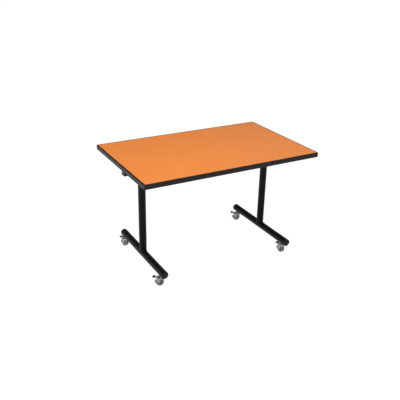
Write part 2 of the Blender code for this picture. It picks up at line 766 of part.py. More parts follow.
# Casters
def caster_places():
    """Return each caster's name and the place of its stem on the floor."""
    places = []
    for end_name, end in ENDS:
        for side_name, side in SIDES:
            place = Vector((side * LEG_SPREAD, end * CASTER_SPREAD, 0.0))
            places.append((end_name + "_" + side_name, place))
    return places


def stem_body():
    """Return a stem: a rivet under the crown, a flange under the foot and a stud up into it."""
    rivet_top = CROWN_BOTTOM - FIT_GAP
    neck = STEM_RADIUS - FIT_GAP
    stud_top = CASTER_HEIGHT + STEM_LENGTH
    profile = [(0.0, rivet_top - STEM_RIVET), (STEM_RIVET_RADIUS, rivet_top - STEM_RIVET)]
    profile += [(STEM_RIVET_RADIUS, rivet_top), (neck, rivet_top), (neck, FLANGE_BOTTOM)]
    profile += [(STEM_FLANGE_RADIUS, FLANGE_BOTTOM), (STEM_FLANGE_RADIUS, FLANGE_TOP)]
    profile += [(STEM_RADIUS, FLANGE_TOP), (STEM_RADIUS, stud_top - STEM_CHAMFER)]
    profile += [(STEM_RADIUS - STEM_CHAMFER, stud_top), (0.0, stud_top)]
    return turned(profile, SMALL_SIDES)


def fork_leg_outline():
    """Return a fork leg, wrapped round the axle's eye, the pedal's pivot and the crown."""
    axle = (WHEEL_CENTRE.x, WHEEL_CENTRE.z)
    points = circle(axle, FORK_EYE_RADIUS, SMALL_SIDES)
    points += circle((PEDAL_PIVOT.x, PEDAL_PIVOT.z), PEDAL_BARREL_RADIUS, SMALL_SIDES)
    points += [(FORK_LEG_FRONT, CROWN_TOP), (FORK_LEG_FRONT, CROWN_BOTTOM - FORK_WALL)]
    return wrapped(points)


def fork_body():
    legs = []
    for side in (-1, 1):
        legs.append(prism(fork_leg_outline(), side * FORK_GAP, side * FORK_OUTER, "Y"))
    crown = box((-CROWN_REAR, -FORK_OUTER, CROWN_BOTTOM), (CROWN_FRONT, FORK_OUTER, CROWN_TOP))
    race = rod(RACE_RADIUS, CROWN_BOTTOM + FORK_WALL / 2, RACE_TOP, RACE_SIDES)
    stem_hole = rod(STEM_RADIUS + FIT_GAP, CROWN_BOTTOM - FORK_WALL, CASTER_HEIGHT, SMALL_SIDES)
    axle_hole = rod(AXLE_RADIUS + FIT_GAP, -2 * FORK_OUTER, 2 * FORK_OUTER, SMALL_SIDES, "Y")
    pin_hole = rod(PEDAL_PIN_RADIUS + FIT_GAP, -2 * FORK_OUTER, 2 * FORK_OUTER, PIN_SIDES, "Y")
    holes = [stem_hole, moved(axle_hole, WHEEL_CENTRE), moved(pin_hole, PEDAL_PIVOT)]
    return cut(joined([crown, *legs, race]), holes)


def tyre_body():
    """Return the tyre, round its axle, with a flat facet to the floor."""
    outer = WHEEL_RADIUS / math.cos(math.pi / WHEEL_SIDES)
    half = TYRE_WIDTH / 2
    profile = [(RIM_RADIUS + FIT_GAP, half)]
    profile += arc((outer - TYRE_ROUNDING, half - TYRE_ROUNDING), TYRE_ROUNDING, 90.0, 0.0, TYRE_STEPS)
    profile += arc((outer - TYRE_ROUNDING, TYRE_ROUNDING - half), TYRE_ROUNDING, 0.0, -90.0, TYRE_STEPS)
    profile.append((RIM_RADIUS + FIT_GAP, -half))
    return turned(profile, WHEEL_SIDES, "Y", math.pi / WHEEL_SIDES)


def hub_body():
    """Return the hub: a boss that runs on the axle, dished in to a thinner web inside the rim."""
    bore = AXLE_RADIUS + FIT_GAP
    half = TYRE_WIDTH / 2
    boss = FORK_GAP - RUNNING_GAP
    rim = RIM_RADIUS - HUB_RIM
    side = [(bore, boss), (HUB_BOSS_RADIUS, boss), (rim, HUB_WEB / 2), (RIM_RADIUS, half)]
    profile = side + [(radius, -height) for radius, height in reversed(side)]
    return turned(profile, WHEEL_SIDES, "Y", math.pi / WHEEL_SIDES)


def axle_body():
    face = FORK_OUTER + FIT_GAP
    head = face + AXLE_HEAD
    side = [(AXLE_RADIUS, face), (AXLE_HEAD_RADIUS, face), (AXLE_HEAD_RADIUS, head), (0.0, head)]
    profile = [(radius, -height) for radius, height in reversed(side)] + side
    return moved(turned(profile, SMALL_SIDES, "Y"), WHEEL_CENTRE)


def pedal_frame():
    """Return the pedal's direction and the direction square to it, in the plane of X and Z."""
    along = Vector((-PEDAL_LENGTH, PEDAL_RISE)).normalized()
    return along, Vector((along.y, -along.x))


def shoe_outline():
    """Return the pedal's lower tab, bent round the tyre, measured from the pedal's pivot."""
    centre = (WHEEL_CENTRE.x - PEDAL_PIVOT.x, WHEEL_CENTRE.z - PEDAL_PIVOT.z)
    top = math.degrees(math.atan2(-centre[1], -centre[0]))
    inner = WHEEL_RADIUS + SHOE_GAP
    near = arc(centre, inner, top, SHOE_END_ANGLE, ARC_STEPS)
    far = arc(centre, inner + SHOE_THICKNESS, SHOE_END_ANGLE, top, ARC_STEPS)
    return near + far


def pedal_body():
    """Return the brake pedal: a barrel on its pin, an upper tab and a lower one round the tyre."""
    along, across = pedal_frame()
    half = PEDAL_WIDTH / 2
    barrel = rod(PEDAL_BARREL_RADIUS, RUNNING_GAP - FORK_GAP, FORK_GAP - RUNNING_GAP, SMALL_SIDES, "Y")
    pin = rod(PEDAL_PIN_RADIUS, -FORK_OUTER, FORK_OUTER, PIN_SIDES, "Y")
    tab = prism(strip(along, across, 0.0, PEDAL_LENGTH, PEDAL_THICKNESS / 2), -half, half, "Y")
    shoe = prism(shoe_outline(), -half, half, "Y")
    return joined([barrel, pin, tab, shoe])


def build_casters(finishes):
    makers = (("fork", fork_body, "zinc"), ("axle", axle_body, "zinc"), ("tyre", tyre_body, "tyre"),
              ("hub", hub_body, "hub"), ("brake_pedal", pedal_body, "pedal"))
    meshes = {name: as_mesh(maker(), name) for name, maker, _ in makers}
    for corner, place in caster_places():
        heading = -math.radians(CASTER_HEADINGS[corner])
        swivel = axis_empty("swivel_axis_" + corner, place, heading=heading)
        wheel = axis_empty("wheel_axis_" + corner, WHEEL_CENTRE, swivel)
        pedal = axis_empty("pedal_axis_" + corner, PEDAL_PIVOT, swivel)
        parents = {"fork": swivel, "axle": swivel, "tyre": wheel, "hub": wheel, "brake_pedal": pedal}
        for name, _, slot in makers:
            add_object(name + "_" + corner, meshes[name], finishes[slot], parents[name])
        add("caster_stem_" + corner, moved(stem_body(), place), finishes["zinc"])


def main():
    clear_scene()
    finishes = make_finishes()
    tilt_axis = axis_empty("tilt_axis", PIVOT)
    lock_axis = axis_empty("lock_axis", LOCK_LINE - PIVOT, tilt_axis)
    build_top(finishes, tilt_axis)
    build_hinges(finishes, tilt_axis)
    build_beam(finishes)
    build_lock(finishes, tilt_axis, lock_axis)
    build_legs(finishes)
    build_casters(finishes)


main()
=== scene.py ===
"""Mobile folding table: finished surfaces and small fittings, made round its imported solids.

The file is laid out as an add-on and run as a script. Sizes are in metres, in the table's own frame:
X runs along the table, Y from front to rear and Z up from the floor. Each caster is drawn in a frame
of its own, with the stem's foot at its origin, the wheel trailing along -X and the axle along Y.
"""
import json
import math

import bmesh
import bpy
from bpy.props import FloatProperty, FloatVectorProperty, IntProperty, PointerProperty
from mathutils import Matrix, Vector


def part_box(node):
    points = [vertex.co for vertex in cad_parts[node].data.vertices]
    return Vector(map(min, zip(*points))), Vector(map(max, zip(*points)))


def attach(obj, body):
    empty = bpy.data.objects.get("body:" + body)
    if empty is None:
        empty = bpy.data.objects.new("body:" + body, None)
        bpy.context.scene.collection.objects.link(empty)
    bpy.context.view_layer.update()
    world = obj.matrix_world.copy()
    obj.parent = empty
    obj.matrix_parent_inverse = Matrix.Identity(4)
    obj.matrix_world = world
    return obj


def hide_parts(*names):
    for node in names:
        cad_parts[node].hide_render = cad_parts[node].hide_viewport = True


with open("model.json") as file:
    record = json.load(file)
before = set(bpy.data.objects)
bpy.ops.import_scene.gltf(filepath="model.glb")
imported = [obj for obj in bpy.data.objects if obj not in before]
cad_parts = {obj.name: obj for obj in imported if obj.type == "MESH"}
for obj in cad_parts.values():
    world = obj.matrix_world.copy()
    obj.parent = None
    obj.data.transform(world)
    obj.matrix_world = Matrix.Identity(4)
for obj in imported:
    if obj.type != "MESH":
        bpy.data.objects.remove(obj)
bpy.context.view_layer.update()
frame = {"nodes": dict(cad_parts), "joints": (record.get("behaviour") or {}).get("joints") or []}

bl_info = {
    "name": "Mobile Folding Table",
    "version": (1, 0, 0),
    "blender": (4, 5, 0),
    "location": "3D View > Sidebar > Folding Table",
    "description": "Dresses the solids of a tilting table on braked casters",
    "category": "Object",
}

JOINTS = {joint["name"]: joint for joint in frame["joints"]}
SIDES = (("left", -1), ("right", 1))
ENDS = (("front", -1), ("rear", 1))
CORNERS = tuple(end + "_" + side for end, _ in ENDS for side, _ in SIDES)


def middle_of(node):
    low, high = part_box(node)
    return (low + high) / 2


# Places and sizes read from the solids
BAND_LOW, BAND_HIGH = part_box("edge_band")
SHEET_LOW, SHEET_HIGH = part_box("laminate_sheet")
BEAM_LOW, BEAM_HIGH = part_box("beam")
CAP_LOW, CAP_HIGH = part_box("beam_end_cap_right")
STRIP_LOW, STRIP_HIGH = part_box("stop_strip")
BUMPER_LOW, BUMPER_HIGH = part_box("tilt_bumper")
ROD_LOW, ROD_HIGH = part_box("lock_rod")
EAR_LOW, EAR_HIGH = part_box("lock_ear_left")
GUIDE_LOW, GUIDE_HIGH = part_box("rod_guide_left")
PLATE_LOW, PLATE_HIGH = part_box("leg_plate_left")
COLUMN_LOW, COLUMN_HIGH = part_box("column_left")
FOOT_LOW, FOOT_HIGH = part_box("foot_left")
STEM_LOW, STEM_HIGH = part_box("caster_stem_front_left")
PIVOT = Vector(JOINTS["top_tilt"]["pos_m"])
LOCK_LINE = (ROD_LOW + ROD_HIGH) / 2
LOCK_ROD_RADIUS = (ROD_HIGH.z - ROD_LOW.z) / 2
LEG_PLACES = {name: middle_of("column_" + name).x for name, _ in SIDES}
COLUMN_RADIUS = (COLUMN_HIGH.x - COLUMN_LOW.x) / 2
FOOT_RADIUS = (FOOT_HIGH.x - FOOT_LOW.x) / 2
FOOT_AXIS = FOOT_HIGH.z - FOOT_RADIUS

# Sizes of the solids that no box gives
FIT_GAP = 0.0003
RUNNING_GAP = 0.0005
BAND_WIDTH = 0.010
TONGUE_DEPTH = 0.008
TONGUE_THICKNESS = 0.004
LEAST_CORNER = 0.0015
BEAM_WALL = 0.0025
BEAM_CORNER = 0.004
KNUCKLE_RADIUS = 0.007
KNUCKLE_LENGTH = 0.036
HINGE_LENGTH = 0.120
HINGE_PIN_RADIUS = 0.004
HINGE_PIN_HEAD = 0.003
HINGE_PIN_HEAD_RADIUS = 0.0056
LEAF_THICKNESS = 0.003
BASE_LEAF_WIDTH = 0.042
TOP_LEAF_WIDTH = 0.048
LOCK_NECK_RADIUS = 0.0035
LOCK_EAR_SHOULDER = 0.008
LOCK_SLOT_PLAY = 0.0015
NECK_PLAY = 0.0015
GUIDE_WALL = 0.004
GUIDE_FLANGE = 0.004
HANDLE_THICKNESS = 0.010
HANDLE_BAR = 0.008
HANDLE_LENGTH = 0.105
HANDLE_FALL = 0.022
GRIP_LENGTH = 0.046
GRIP_WALL = 0.003
GRIP_WIDTH = 0.024
TUBE_WALL = 0.002
LEG_PLATE_CORNER = 0.008
LEG_BOLT_SPREAD = 0.046
SOCKET_RADIUS = 0.009
SOCKET_LENGTH = 0.030
STEM_RADIUS = 0.005
TYRE_WIDTH = 0.024
RIM_RADIUS = 0.0175
AXLE_RADIUS = 0.003
FORK_GAP = 0.0145
FORK_WALL = 0.0025
FORK_OUTER = FORK_GAP + FORK_WALL
FORK_EYE_RADIUS = 0.0075
FORK_LEG_FRONT = -0.004
CROWN_BOTTOM = 0.0551
CROWN_TOP = CROWN_BOTTOM + FORK_WALL
CROWN_FRONT = 0.016
CROWN_REAR = 0.016
FLANGE_BOTTOM = 0.0638
FLANGE_TOP = 0.0663
RACE_RADIUS = 0.0160
PEDAL_BARREL_RADIUS = 0.004
PEDAL_PIN_RADIUS = 0.002
PEDAL_WIDTH = 0.022
PEDAL_THICKNESS = 0.003
PEDAL_LENGTH = 0.030
PEDAL_RISE = 0.002
SHOE_GAP = 0.0038
SHOE_END_ANGLE = 196.0

# Screws of a hinge: how far apart they are, and how far down the base leaf and across the top leaf
LEAF_SCREW_SPREAD = 0.046
LEAF_SCREW_REACH = ((0.021, 0.024), (0.033, 0.038), (0.021, 0.024))

# Leg bolts: the head's corner radius and height, and the shank's radius
LEG_BOLT_SIZES = (0.0075, 0.0055, 0.004)

# Swivel bearing: the balls' play in their groove and the lip of the race beside it
BALL_PLAY = 0.0002
RACE_LIP = 0.0006

# Guard lines, which keep the paler edge (wear, and the laminate's painted highlight) at an edge: their
# inset in parts of the edge's rounding
EDGE_GUARD = 1.6
BAND_GUARD = 1.3

# Facets
ROUND_SIDES = 96
WHEEL_SIDES = 72
SMALL_SIDES = 32
SOCKET_SIDES = 30
HEX_SIDES = 24
CORNER_STEPS = 8
EDGE_STEPS = 3
ARC_STEPS = 16
SHARP_ANGLE = math.radians(38)

# Ways to stand an outline: its own third direction becomes X, Y or Z
ALONG_X = Matrix(((0, 0, 1, 0), (1, 0, 0, 0), (0, 1, 0, 0), (0, 0, 0, 1)))
ALONG_Y = Matrix(((1, 0, 0, 0), (0, 0, 1, 0), (0, 1, 0, 0), (0, 0, 0, 1)))
ALONG_Z = Matrix.Identity(4)


# Settings
def length(label, text, default):
    return FloatProperty(name=label, description=text, default=default, min=0.0, precision=5, unit="LENGTH")


def share(label, text, default):
    return FloatProperty(name=label, description=text, default=default, min=0.0, max=1.0, subtype="FACTOR")


def count(label, text, default):
    return IntProperty(name=label, description=text, default=default, min=3)


def power(label, text, default):
    return FloatProperty(name=label, description=text, default=default, min=0.0, unit="POWER")


def colour(label, text, default):
    return FloatVectorProperty(
        name=label, description=text, default=default, min=0.0, max=1.0, subtype="COLOR")


class TopSettings(bpy.types.PropertyGroup):
    laminate: colour("Laminate", "Colour of the decorative sheet", (0.86, 0.262, 0.055))
    band: colour("Edge band", "Colour of the vinyl edge", (0.0125, 0.0105, 0.0102))
    board: colour("Core board", "Colour of the particle board", (0.45, 0.32, 0.20))
    backer: colour("Backing sheet", "Colour of the sheet under the core", (0.045, 0.045, 0.046))
    corner: length("Corner radius", "Rounding of the top's corners in plan", 0.014)
    band_rounding: length("Edge rounding", "Rounding of the edge band's long edges", 0.0045)
    sheet_edge: length("Sheet edge", "Rounding of the laminate's edge", 0.0003)


class FrameSettings(bpy.types.PropertyGroup):
    coat: colour("Powder coat", "Colour of the coated steel", (0.0032, 0.0030, 0.0030))
    plastic: colour("Plastic", "Colour of plugs, caps and guides", (0.008, 0.008, 0.008))
    rubber: colour("Rubber", "Colour of the strip and the bumper", (0.020, 0.020, 0.020))
    zinc: colour("Zinc", "Colour of plated pins and bolts", (0.26, 0.265, 0.26))
    plate_edge: length("Plate edge", "Rounding of plate and bracket edges", 0.0006)
    weld: length("Weld bead", "Radius of the weld beads", 0.0024)
    weld_ripple: length("Weld ripple", "Length of one ripple along a bead", 0.0042)
    screw_head: length("Screw head", "Radius of the small screw heads", 0.0042)
    strip_ribs: count("Strip ribs", "Ribs along the rubber strip", 4)
    grip_ribs: count("Grip ribs", "Finger ribs on the handle's grip", 7)


class CasterSettings(bpy.types.PropertyGroup):
    tyre: colour("Tyre", "Colour of the tread", (0.150, 0.152, 0.128))
    hub: colour("Hub", "Colour of the moulded hub", (0.150, 0.153, 0.132))
    pedal: colour("Pedal", "Colour of the pressed pedal", (0.50, 0.505, 0.50))
    tread_rounding: length("Tread rounding", "Rounding of the tyre's shoulders", 0.0045)
    sheet_edge: length("Sheet edge", "Rounding of the pressed sheet's edges", 0.0005)
    fork_bend: length("Fork bend", "Outer radius of the bends beside the crown", 0.004)
    hub_ribs: count("Hub ribs", "Ribs between the hub's boss and rim", 6)
    balls: count("Balls", "Balls in the swivel bearing", 18)
    ball_radius: length("Ball radius", "Radius of the bearing balls", 0.0017)
    tip_ribs: count("Tip ribs", "Ribs across the pedal's cover", 4)


class StageSettings(bpy.types.PropertyGroup):
    floor: colour("Floor", "Colour of the floor", (0.10, 0.10, 0.10))
    floor_glow: share("Floor glow", "Light that the floor gives off by itself", 0.98)
    sky: share("Room light", "Strength of the light from above the horizon", 0.11)
    ground: share("Low light", "Strength of the light from below the horizon", 0.06)
    key: power("Key light", "Power of the large light overhead", 73.0)
    side: power("Side light", "Power of the light at the left", 40.0)
    rear: power("Rear light", "Power of the light at the rear right", 5.0)
    camera_place: FloatVectorProperty(
        name="Camera place", description="Where the camera stands",
        default=(-1.7964, -3.0880, 1.9869), subtype="TRANSLATION")
    camera_turn: FloatVectorProperty(
        name="Camera turn", description="How the camera is turned",
        default=tuple(math.radians(angle) for angle in (65.6739, -1.1657, -29.0876)), subtype="EULER")
    lens: FloatProperty(
        name="Lens", description="Focal length on a square frame 36 mm wide", default=52.73, unit="CAMERA")


# Outlines in a plane, anticlockwise
def arc(centre, radius, start, stop, steps):
    points = []
    for step in range(steps + 1):
        angle = math.radians(start + (stop - start) * step / steps)
        points.append((centre[0] + radius * math.cos(angle), centre[1] + radius * math.sin(angle)))
    return points


def circle(radius, sides=SMALL_SIDES, centre=(0.0, 0.0)):
    return arc(centre, radius, 0.0, 360.0, sides)[:-1]


def rounded_rectangle(half_width, half_height, radius, centre=(0.0, 0.0)):
    points = []
    quarters = ((1, 1, 0.0), (-1, 1, 90.0), (-1, -1, 180.0), (1, -1, 270.0))
    for side, end, start in quarters:
        corner = (centre[0] + side * (half_width - radius), centre[1] + end * (half_height - radius))
        points += arc(corner, radius, start, start + 90.0, CORNER_STEPS)
    return points


def tab(half, low, high, radius):
    """Return a plate's outline that is square at its high end and rounded at its low one."""
    points = arc((half - radius, low + radius), radius, 270.0, 360.0, CORNER_STEPS)
    points += [(half, high), (-half, high)]
    return points + arc((radius - half, low + radius), radius, 180.0, 270.0, CORNER_STEPS)


def turn(first, second, third):
    along = (second[0] - first[0], second[1] - first[1])
    across = (third[0] - first[0], third[1] - first[1])
    return along[0] * across[1] - along[1] * across[0]


def wrapped(points):
    """Return the outline of a band stretched round the points."""
    ordered = sorted(set((round(u, 7), round(v, 7)) for u, v in points))
    halves = []
    for run in (ordered, ordered[::-1]):
        half = []
        for point in run:
            while len(half) > 1 and turn(half[-2], half[-1], point) <= 0.0:
                half.pop()
            half.append(point)
        halves += half[:-1]
    return halves


def drawn_in(outline, amount):
    """Return an outline drawn in by an amount, with its corners kept."""
    points = []
    for index, here in enumerate(outline):
        normals = []
        for start, stop in ((outline[index - 1], here), (here, outline[(index + 1) % len(outline)])):
            run = Vector((stop[0] - start[0], stop[1] - start[1])).normalized()
            normals.append(Vector((-run.y, run.x)))
        mitre = (normals[0] + normals[1]) / (1.0 + normals[0].dot(normals[1]))
        points.append((here[0] + amount * mitre.x, here[1] + amount * mitre.y))
    return points


def ribbon(path, thickness):
    """Return the outline of a bent strip that follows a path."""
    sides = ([], [])
    for index, here in enumerate(path):
        before = path[max(index - 1, 0)]
        after = path[min(index + 1, len(path) - 1)]
        run = Vector((after[0] - before[0], after[1] - before[1])).normalized()
        for side, reach in zip(sides, (-thickness / 2, thickness / 2)):
            side.append((here[0] - reach * run.y, here[1] + reach * run.x))
    return sides[0] + sides[1][::-1]


def edge_levels(low, high, rounding):
    """Return (inset, level) pairs up a rounded edge, with a guard line at each end."""
    if rounding == 0.0:
        return [(0.0, low), (0.0, high)]
    guard = EDGE_GUARD * rounding
    lower = arc((rounding, low + rounding), rounding, 270.0, 180.0, EDGE_STEPS)
    upper = arc((rounding, high - rounding), rounding, 180.0, 90.0, EDGE_STEPS)
    return [(guard, low), *lower, *upper, (guard, high)]


# Shapes
def ring_faces(body, first, second):
    for index in range(len(first)):
        after = (index + 1) % len(first)
        body.faces.new((first[index], first[after], second[after], second[index]))


def close_end(body, rings):
    """Close an end inside its outer ring and outside any others."""
    if len(rings) == 1:
        body.faces.new(rings[0])
        return
    edges = []
    for loop in rings:
        edges += [body.edges.get((loop[index - 1], loop[index])) for index in range(len(loop))]
    bmesh.ops.triangle_fill(body, use_beauty=True, edges=edges)


def slab(outline, low, high, rounding=0.0, holes=(), place=ALONG_Z):
    """Extrude an outline from low to high, with rounded edges and any holes through it."""
    body = bmesh.new()
    ends = ([], [])
    for loop, way in [(outline, 1.0), *((hole, -1.0) for hole in holes)]:
        rings = []
        for inset, level in edge_levels(low, high, rounding):
            points = drawn_in(loop, way * inset)
            rings.append([body.verts.new(place @ Vector((u, v, level))) for u, v in points])
        for lower, upper in zip(rings, rings[1:]):
            ring_faces(body, lower, upper)
        ends[0].append(rings[0])
        ends[1].append(rings[-1])
    for rings in ends:
        close_end(body, rings)
    return body


def skinned(rings, looped=False):
    """Skin rings of points in turn, closed on themselves or at both ends; one point makes a pole."""
    body = bmesh.new()
    made = [[body.verts.new(point) for point in points] for points in rings]
    pairs = list(zip(made, made[1:]))
    if looped:
        pairs.append((made[-1], made[0]))
    for lower, upper in pairs:
        if len(lower) > 1 and len(upper) > 1:
            ring_faces(body, lower, upper)
            continue
        tip, rim = (lower, upper) if len(lower) == 1 else (upper, lower)
        for index in range(len(rim)):
            body.faces.new((tip[0], rim[index], rim[(index + 1) % len(rim)]))
    if not looped:
        for end in (made[0], made[-1]):
            if len(end) > 1:
                body.faces.new(end)
    return body


def turned(profile, sides=SMALL_SIDES, place=ALONG_Z):
    """Spin (radius, height) points; a profile that leaves the axis closes on itself."""
    rings = []
    for radius, height in profile:
        flat = circle(radius, sides) if radius > 0.0 else [(0.0, 0.0)]
        rings.append([place @ Vector((u, v, height)) for u, v in flat])
    return skinned(rings, looped=profile[0][0] > 0.0)


def mirrored(side):
    """Return a profile that follows one side out and its mirror image back."""
    return side + [(radius, -height) for radius, height in reversed(side)]


def rod(radius, low, high, sides=SMALL_SIDES, place=ALONG_Z):
    return slab(circle(radius, sides), low, high, place=place)


def hexagon(radius, level):
    """Return a ring of points round a hexagon of that corner radius."""
    inner = radius * math.cos(math.pi / 6)
    points = []
    for step in range(HEX_SIDES):
        angle = 2 * math.pi * step / HEX_SIDES
        reach = inner / math.cos(angle % (math.pi / 3) - math.pi / 6)
        points.append(Vector((reach * math.cos(angle), reach * math.sin(angle), level)))
    return points


def ring(radius, level):
    return [Vector((u, v, level)) for u, v in circle(radius, HEX_SIDES)]


def placed(body, matrix):
    bmesh.ops.transform(body, matrix=matrix, verts=body.verts)
    return body


def moved(body, place):
    return placed(body, Matrix.Translation(Vector(place)))


def frame_at(place, *axes):
    """Return a frame that stands at a place with the three axes given."""
    return Matrix.Translation(place) @ Matrix(axes).transposed().to_4x4()


def body_of(mesh):
    body = bmesh.new()
    body.from_mesh(mesh)
    bpy.data.meshes.remove(mesh)
    return body


def as_mesh(body, name):
    bmesh.ops.recalc_face_normals(body, faces=body.faces)
    mesh = bpy.data.meshes.new(name)
    body.to_mesh(mesh)
    body.free()
    return mesh


def gathered(bodies):
    """Return several bodies as one, each still a closed shell of its own."""
    group = bmesh.new()
    for body in bodies:
        mesh = as_mesh(body, "member")
        group.from_mesh(mesh)
        bpy.data.meshes.remove(mesh)
    return group


def holder_of(name, mesh):
    """Put a mesh in the scene for as long as a modifier needs it."""
    holder = bpy.data.objects.new(name, mesh)
    bpy.context.scene.collection.objects.link(holder)
    return holder


def discard(holder):
    mesh = holder.data
    bpy.data.objects.remove(holder)
    bpy.data.meshes.remove(mesh)


def evaluated(holder):
    graph = bpy.context.evaluated_depsgraph_get()
    return bpy.data.meshes.new_from_object(holder.evaluated_get(graph))


def combined(body, tool, operation):
    """Join a tool to a body, or cut it out of the body."""
    pair = [holder_of("body", as_mesh(body, "body")), holder_of("tool", as_mesh(tool, "tool"))]
    step = pair[0].modifiers.new("combine", "BOOLEAN")
    step.operation = operation
    step.solver = "EXACT"
    step.object = pair[1]
    result = body_of(evaluated(pair[0]))
    for holder in pair:
        discard(holder)
    return result


def cut(body, tools):
    return combined(body, gathered(tools), "DIFFERENCE")


def joined(bodies):
    whole = bodies[0]
    for body in bodies[1:]:
        whole = combined(whole, body, "UNION")
    return whole


# Node trees
def wire(tree, kind, inputs, output=0, **options):
    """Add a node, set its options, link or set its inputs, and return one of its outputs."""
    node = tree.nodes.new(kind)
    for option, value in options.items():
        setattr(node, option, value)
    for socket, value in inputs.items():
        if isinstance(value, bpy.types.NodeSocket):
            tree.links.new(value, node.inputs[socket])
        else:
            node.inputs[socket].default_value = value
    return node.outputs[output]


def maths(tree, operation, *terms):
    return wire(tree, "ShaderNodeMath", dict(enumerate(terms)), operation=operation)


def new_tree(name, inputs):
    """Start a geometry tree with named inputs, and return it with what it is given."""
    tree = bpy.data.node_groups.new(name, "GeometryNodeTree")
    tree.interface.new_socket("Geometry", in_out="INPUT", socket_type="NodeSocketGeometry")
    for label, kind in (*inputs, ("Finish", "Material")):
        tree.interface.new_socket(label, in_out="INPUT", socket_type="NodeSocket" + kind)
    tree.interface.new_socket("Geometry", in_out="OUTPUT", socket_type="NodeSocketGeometry")
    return tree, tree.nodes.new("NodeGroupInput").outputs


def end_tree(tree, given, geometry):
    real = wire(tree, "GeometryNodeRealizeInstances", {"Geometry": geometry})
    coated = wire(tree, "GeometryNodeSetMaterial", {"Geometry": real, "Material": given["Finish"]})
    tree.links.new(coated, tree.nodes.new("NodeGroupOutput").inputs["Geometry"])
    return tree


def end_with_copies(tree, given, points, **turned_by):
    """End a tree by setting its member on points."""
    member = wire(tree, "GeometryNodeObjectInfo", {"Object": given["Member"]}, "Geometry")
    inputs = {"Points": points, "Instance": member, **turned_by}
    return end_tree(tree, given, wire(tree, "GeometryNodeInstanceOnPoints", inputs))


def fastener_tree():
    """Set a fastener on each point, along the point's axis and turned by its spin."""
    tree, given = new_tree("fasteners", (("Member", "Object"),))
    named = "GeometryNodeInputNamedAttribute"
    axis = wire(tree, named, {"Name": "axis"}, "Attribute", data_type="FLOAT_VECTOR")
    spin = wire(tree, named, {"Name": "spin"}, "Attribute", data_type="FLOAT")
    stand = wire(tree, "FunctionNodeAlignRotationToVector", {"Vector": axis}, axis="Z")
    twist = wire(tree, "FunctionNodeAxisAngleToRotation", {"Axis": (0.0, 0.0, 1.0), "Angle": spin})
    both = wire(tree, "FunctionNodeRotateRotation", {"Rotation": stand, "Rotate By": twist},
                rotation_space="LOCAL")
    return end_with_copies(tree, given, given["Geometry"], Rotation=both)


def ring_tree():
    """Set copies of a member round a circle, each facing out."""
    tree, given = new_tree("ring", (("Copies", "Int"), ("Radius", "Float"), ("Member", "Object")))
    line = wire(tree, "GeometryNodeMeshCircle", {"Vertices": given["Copies"], "Radius": given["Radius"]})
    place = wire(tree, "GeometryNodeInputPosition", {})
    facing = wire(tree, "FunctionNodeAlignRotationToVector", {"Vector": place}, axis="X")
    return end_with_copies(tree, given, line, Rotation=facing)


def row_tree():
    """Set copies of a member along a straight row."""
    inputs = (("Copies", "Int"), ("Start", "Vector"), ("Step", "Vector"), ("Member", "Object"))
    tree, given = new_tree("row", inputs)
    sizes = {"Count": given["Copies"], "Start Location": given["Start"], "Offset": given["Step"]}
    return end_with_copies(tree, given, wire(tree, "GeometryNodeMeshLine", sizes, mode="OFFSET"))


def weld_tree():
    """Run a rippled bead along the edges of a path."""
    ripple_depth = 0.16
    ripple_steps = 6.0
    bead_sides = 12
    tree, given = new_tree("weld_bead", (("Radius", "Float"), ("Ripple", "Float")))
    path = wire(tree, "GeometryNodeMeshToCurve", {"Mesh": given["Geometry"]})
    pitch = maths(tree, "DIVIDE", given["Ripple"], ripple_steps)
    even = wire(tree, "GeometryNodeResampleCurve", {"Curve": path, "Length": pitch}, mode="LENGTH")
    along = wire(tree, "GeometryNodeSplineParameter", {}, "Length")
    turns = maths(tree, "DIVIDE", along, given["Ripple"])
    wave = maths(tree, "SINE", maths(tree, "MULTIPLY", turns, 2 * math.pi))
    swell = maths(tree, "MULTIPLY_ADD", wave, ripple_depth, 1.0)
    section = wire(tree, "GeometryNodeCurvePrimitiveCircle",
                   {"Resolution": bead_sides, "Radius": given["Radius"]})
    bead = wire(tree, "GeometryNodeCurveToMesh",
                {"Curve": even, "Profile Curve": section, "Scale": swell, "Fill Caps": True})
    return end_tree(tree, given, bead)


TREES = {"fasteners": fastener_tree, "ring": ring_tree, "row": row_tree, "weld_bead": weld_tree}


def grown(name, sizes, mesh=None):
    """Run a geometry tree with its inputs set, and return the result as a plain mesh."""
    tree = bpy.data.node_groups.get(name) or TREES[name]()
    holder = holder_of(name, mesh or bpy.data.meshes.new(name))
    step = holder.modifiers.new(name, "NODES")
    step.node_group = tree
    for item in tree.interface.items_tree:
        if item.in_out == "INPUT" and item.name in sizes:
            step[item.identifier] = sizes[item.name]
    result = evaluated(holder)
    discard(holder)
    return result


def copied(name, member, slot, sizes, mesh=None):
    """Run a geometry tree that sets copies of a member."""
    holder = holder_of("member", as_mesh(member, "member"))
    result = grown(name, {**sizes, "Member": holder, "Finish": finish(slot)}, mesh)
    discard(holder)
    return result


def ribbed(cover, rib, ribs, middle, run):
    """Return a plastic cover with a row of ribs, spread over a run about their middle."""
    sizes = {"Copies": ribs, "Start": tuple(middle - run / 2), "Step": tuple(run / (ribs - 1))}
    return combined(cover, body_of(copied("row", rib, "plastic", sizes)), "UNION")


def points_of(places):
    """Return a mesh of points from (place, axis, spin) for the fastener tree."""
    mesh = bpy.data.meshes.new("points")
    mesh.from_pydata([place for place, _, _ in places], [], [])
    axes = mesh.attributes.new("axis", "FLOAT_VECTOR", "POINT")
    axes.data.foreach_set("vector", [part for _, axis, _ in places for part in axis])
    spins = mesh.attributes.new("spin", "FLOAT", "POINT")
    spins.data.foreach_set("value", [spin for _, _, spin in places])
    return mesh


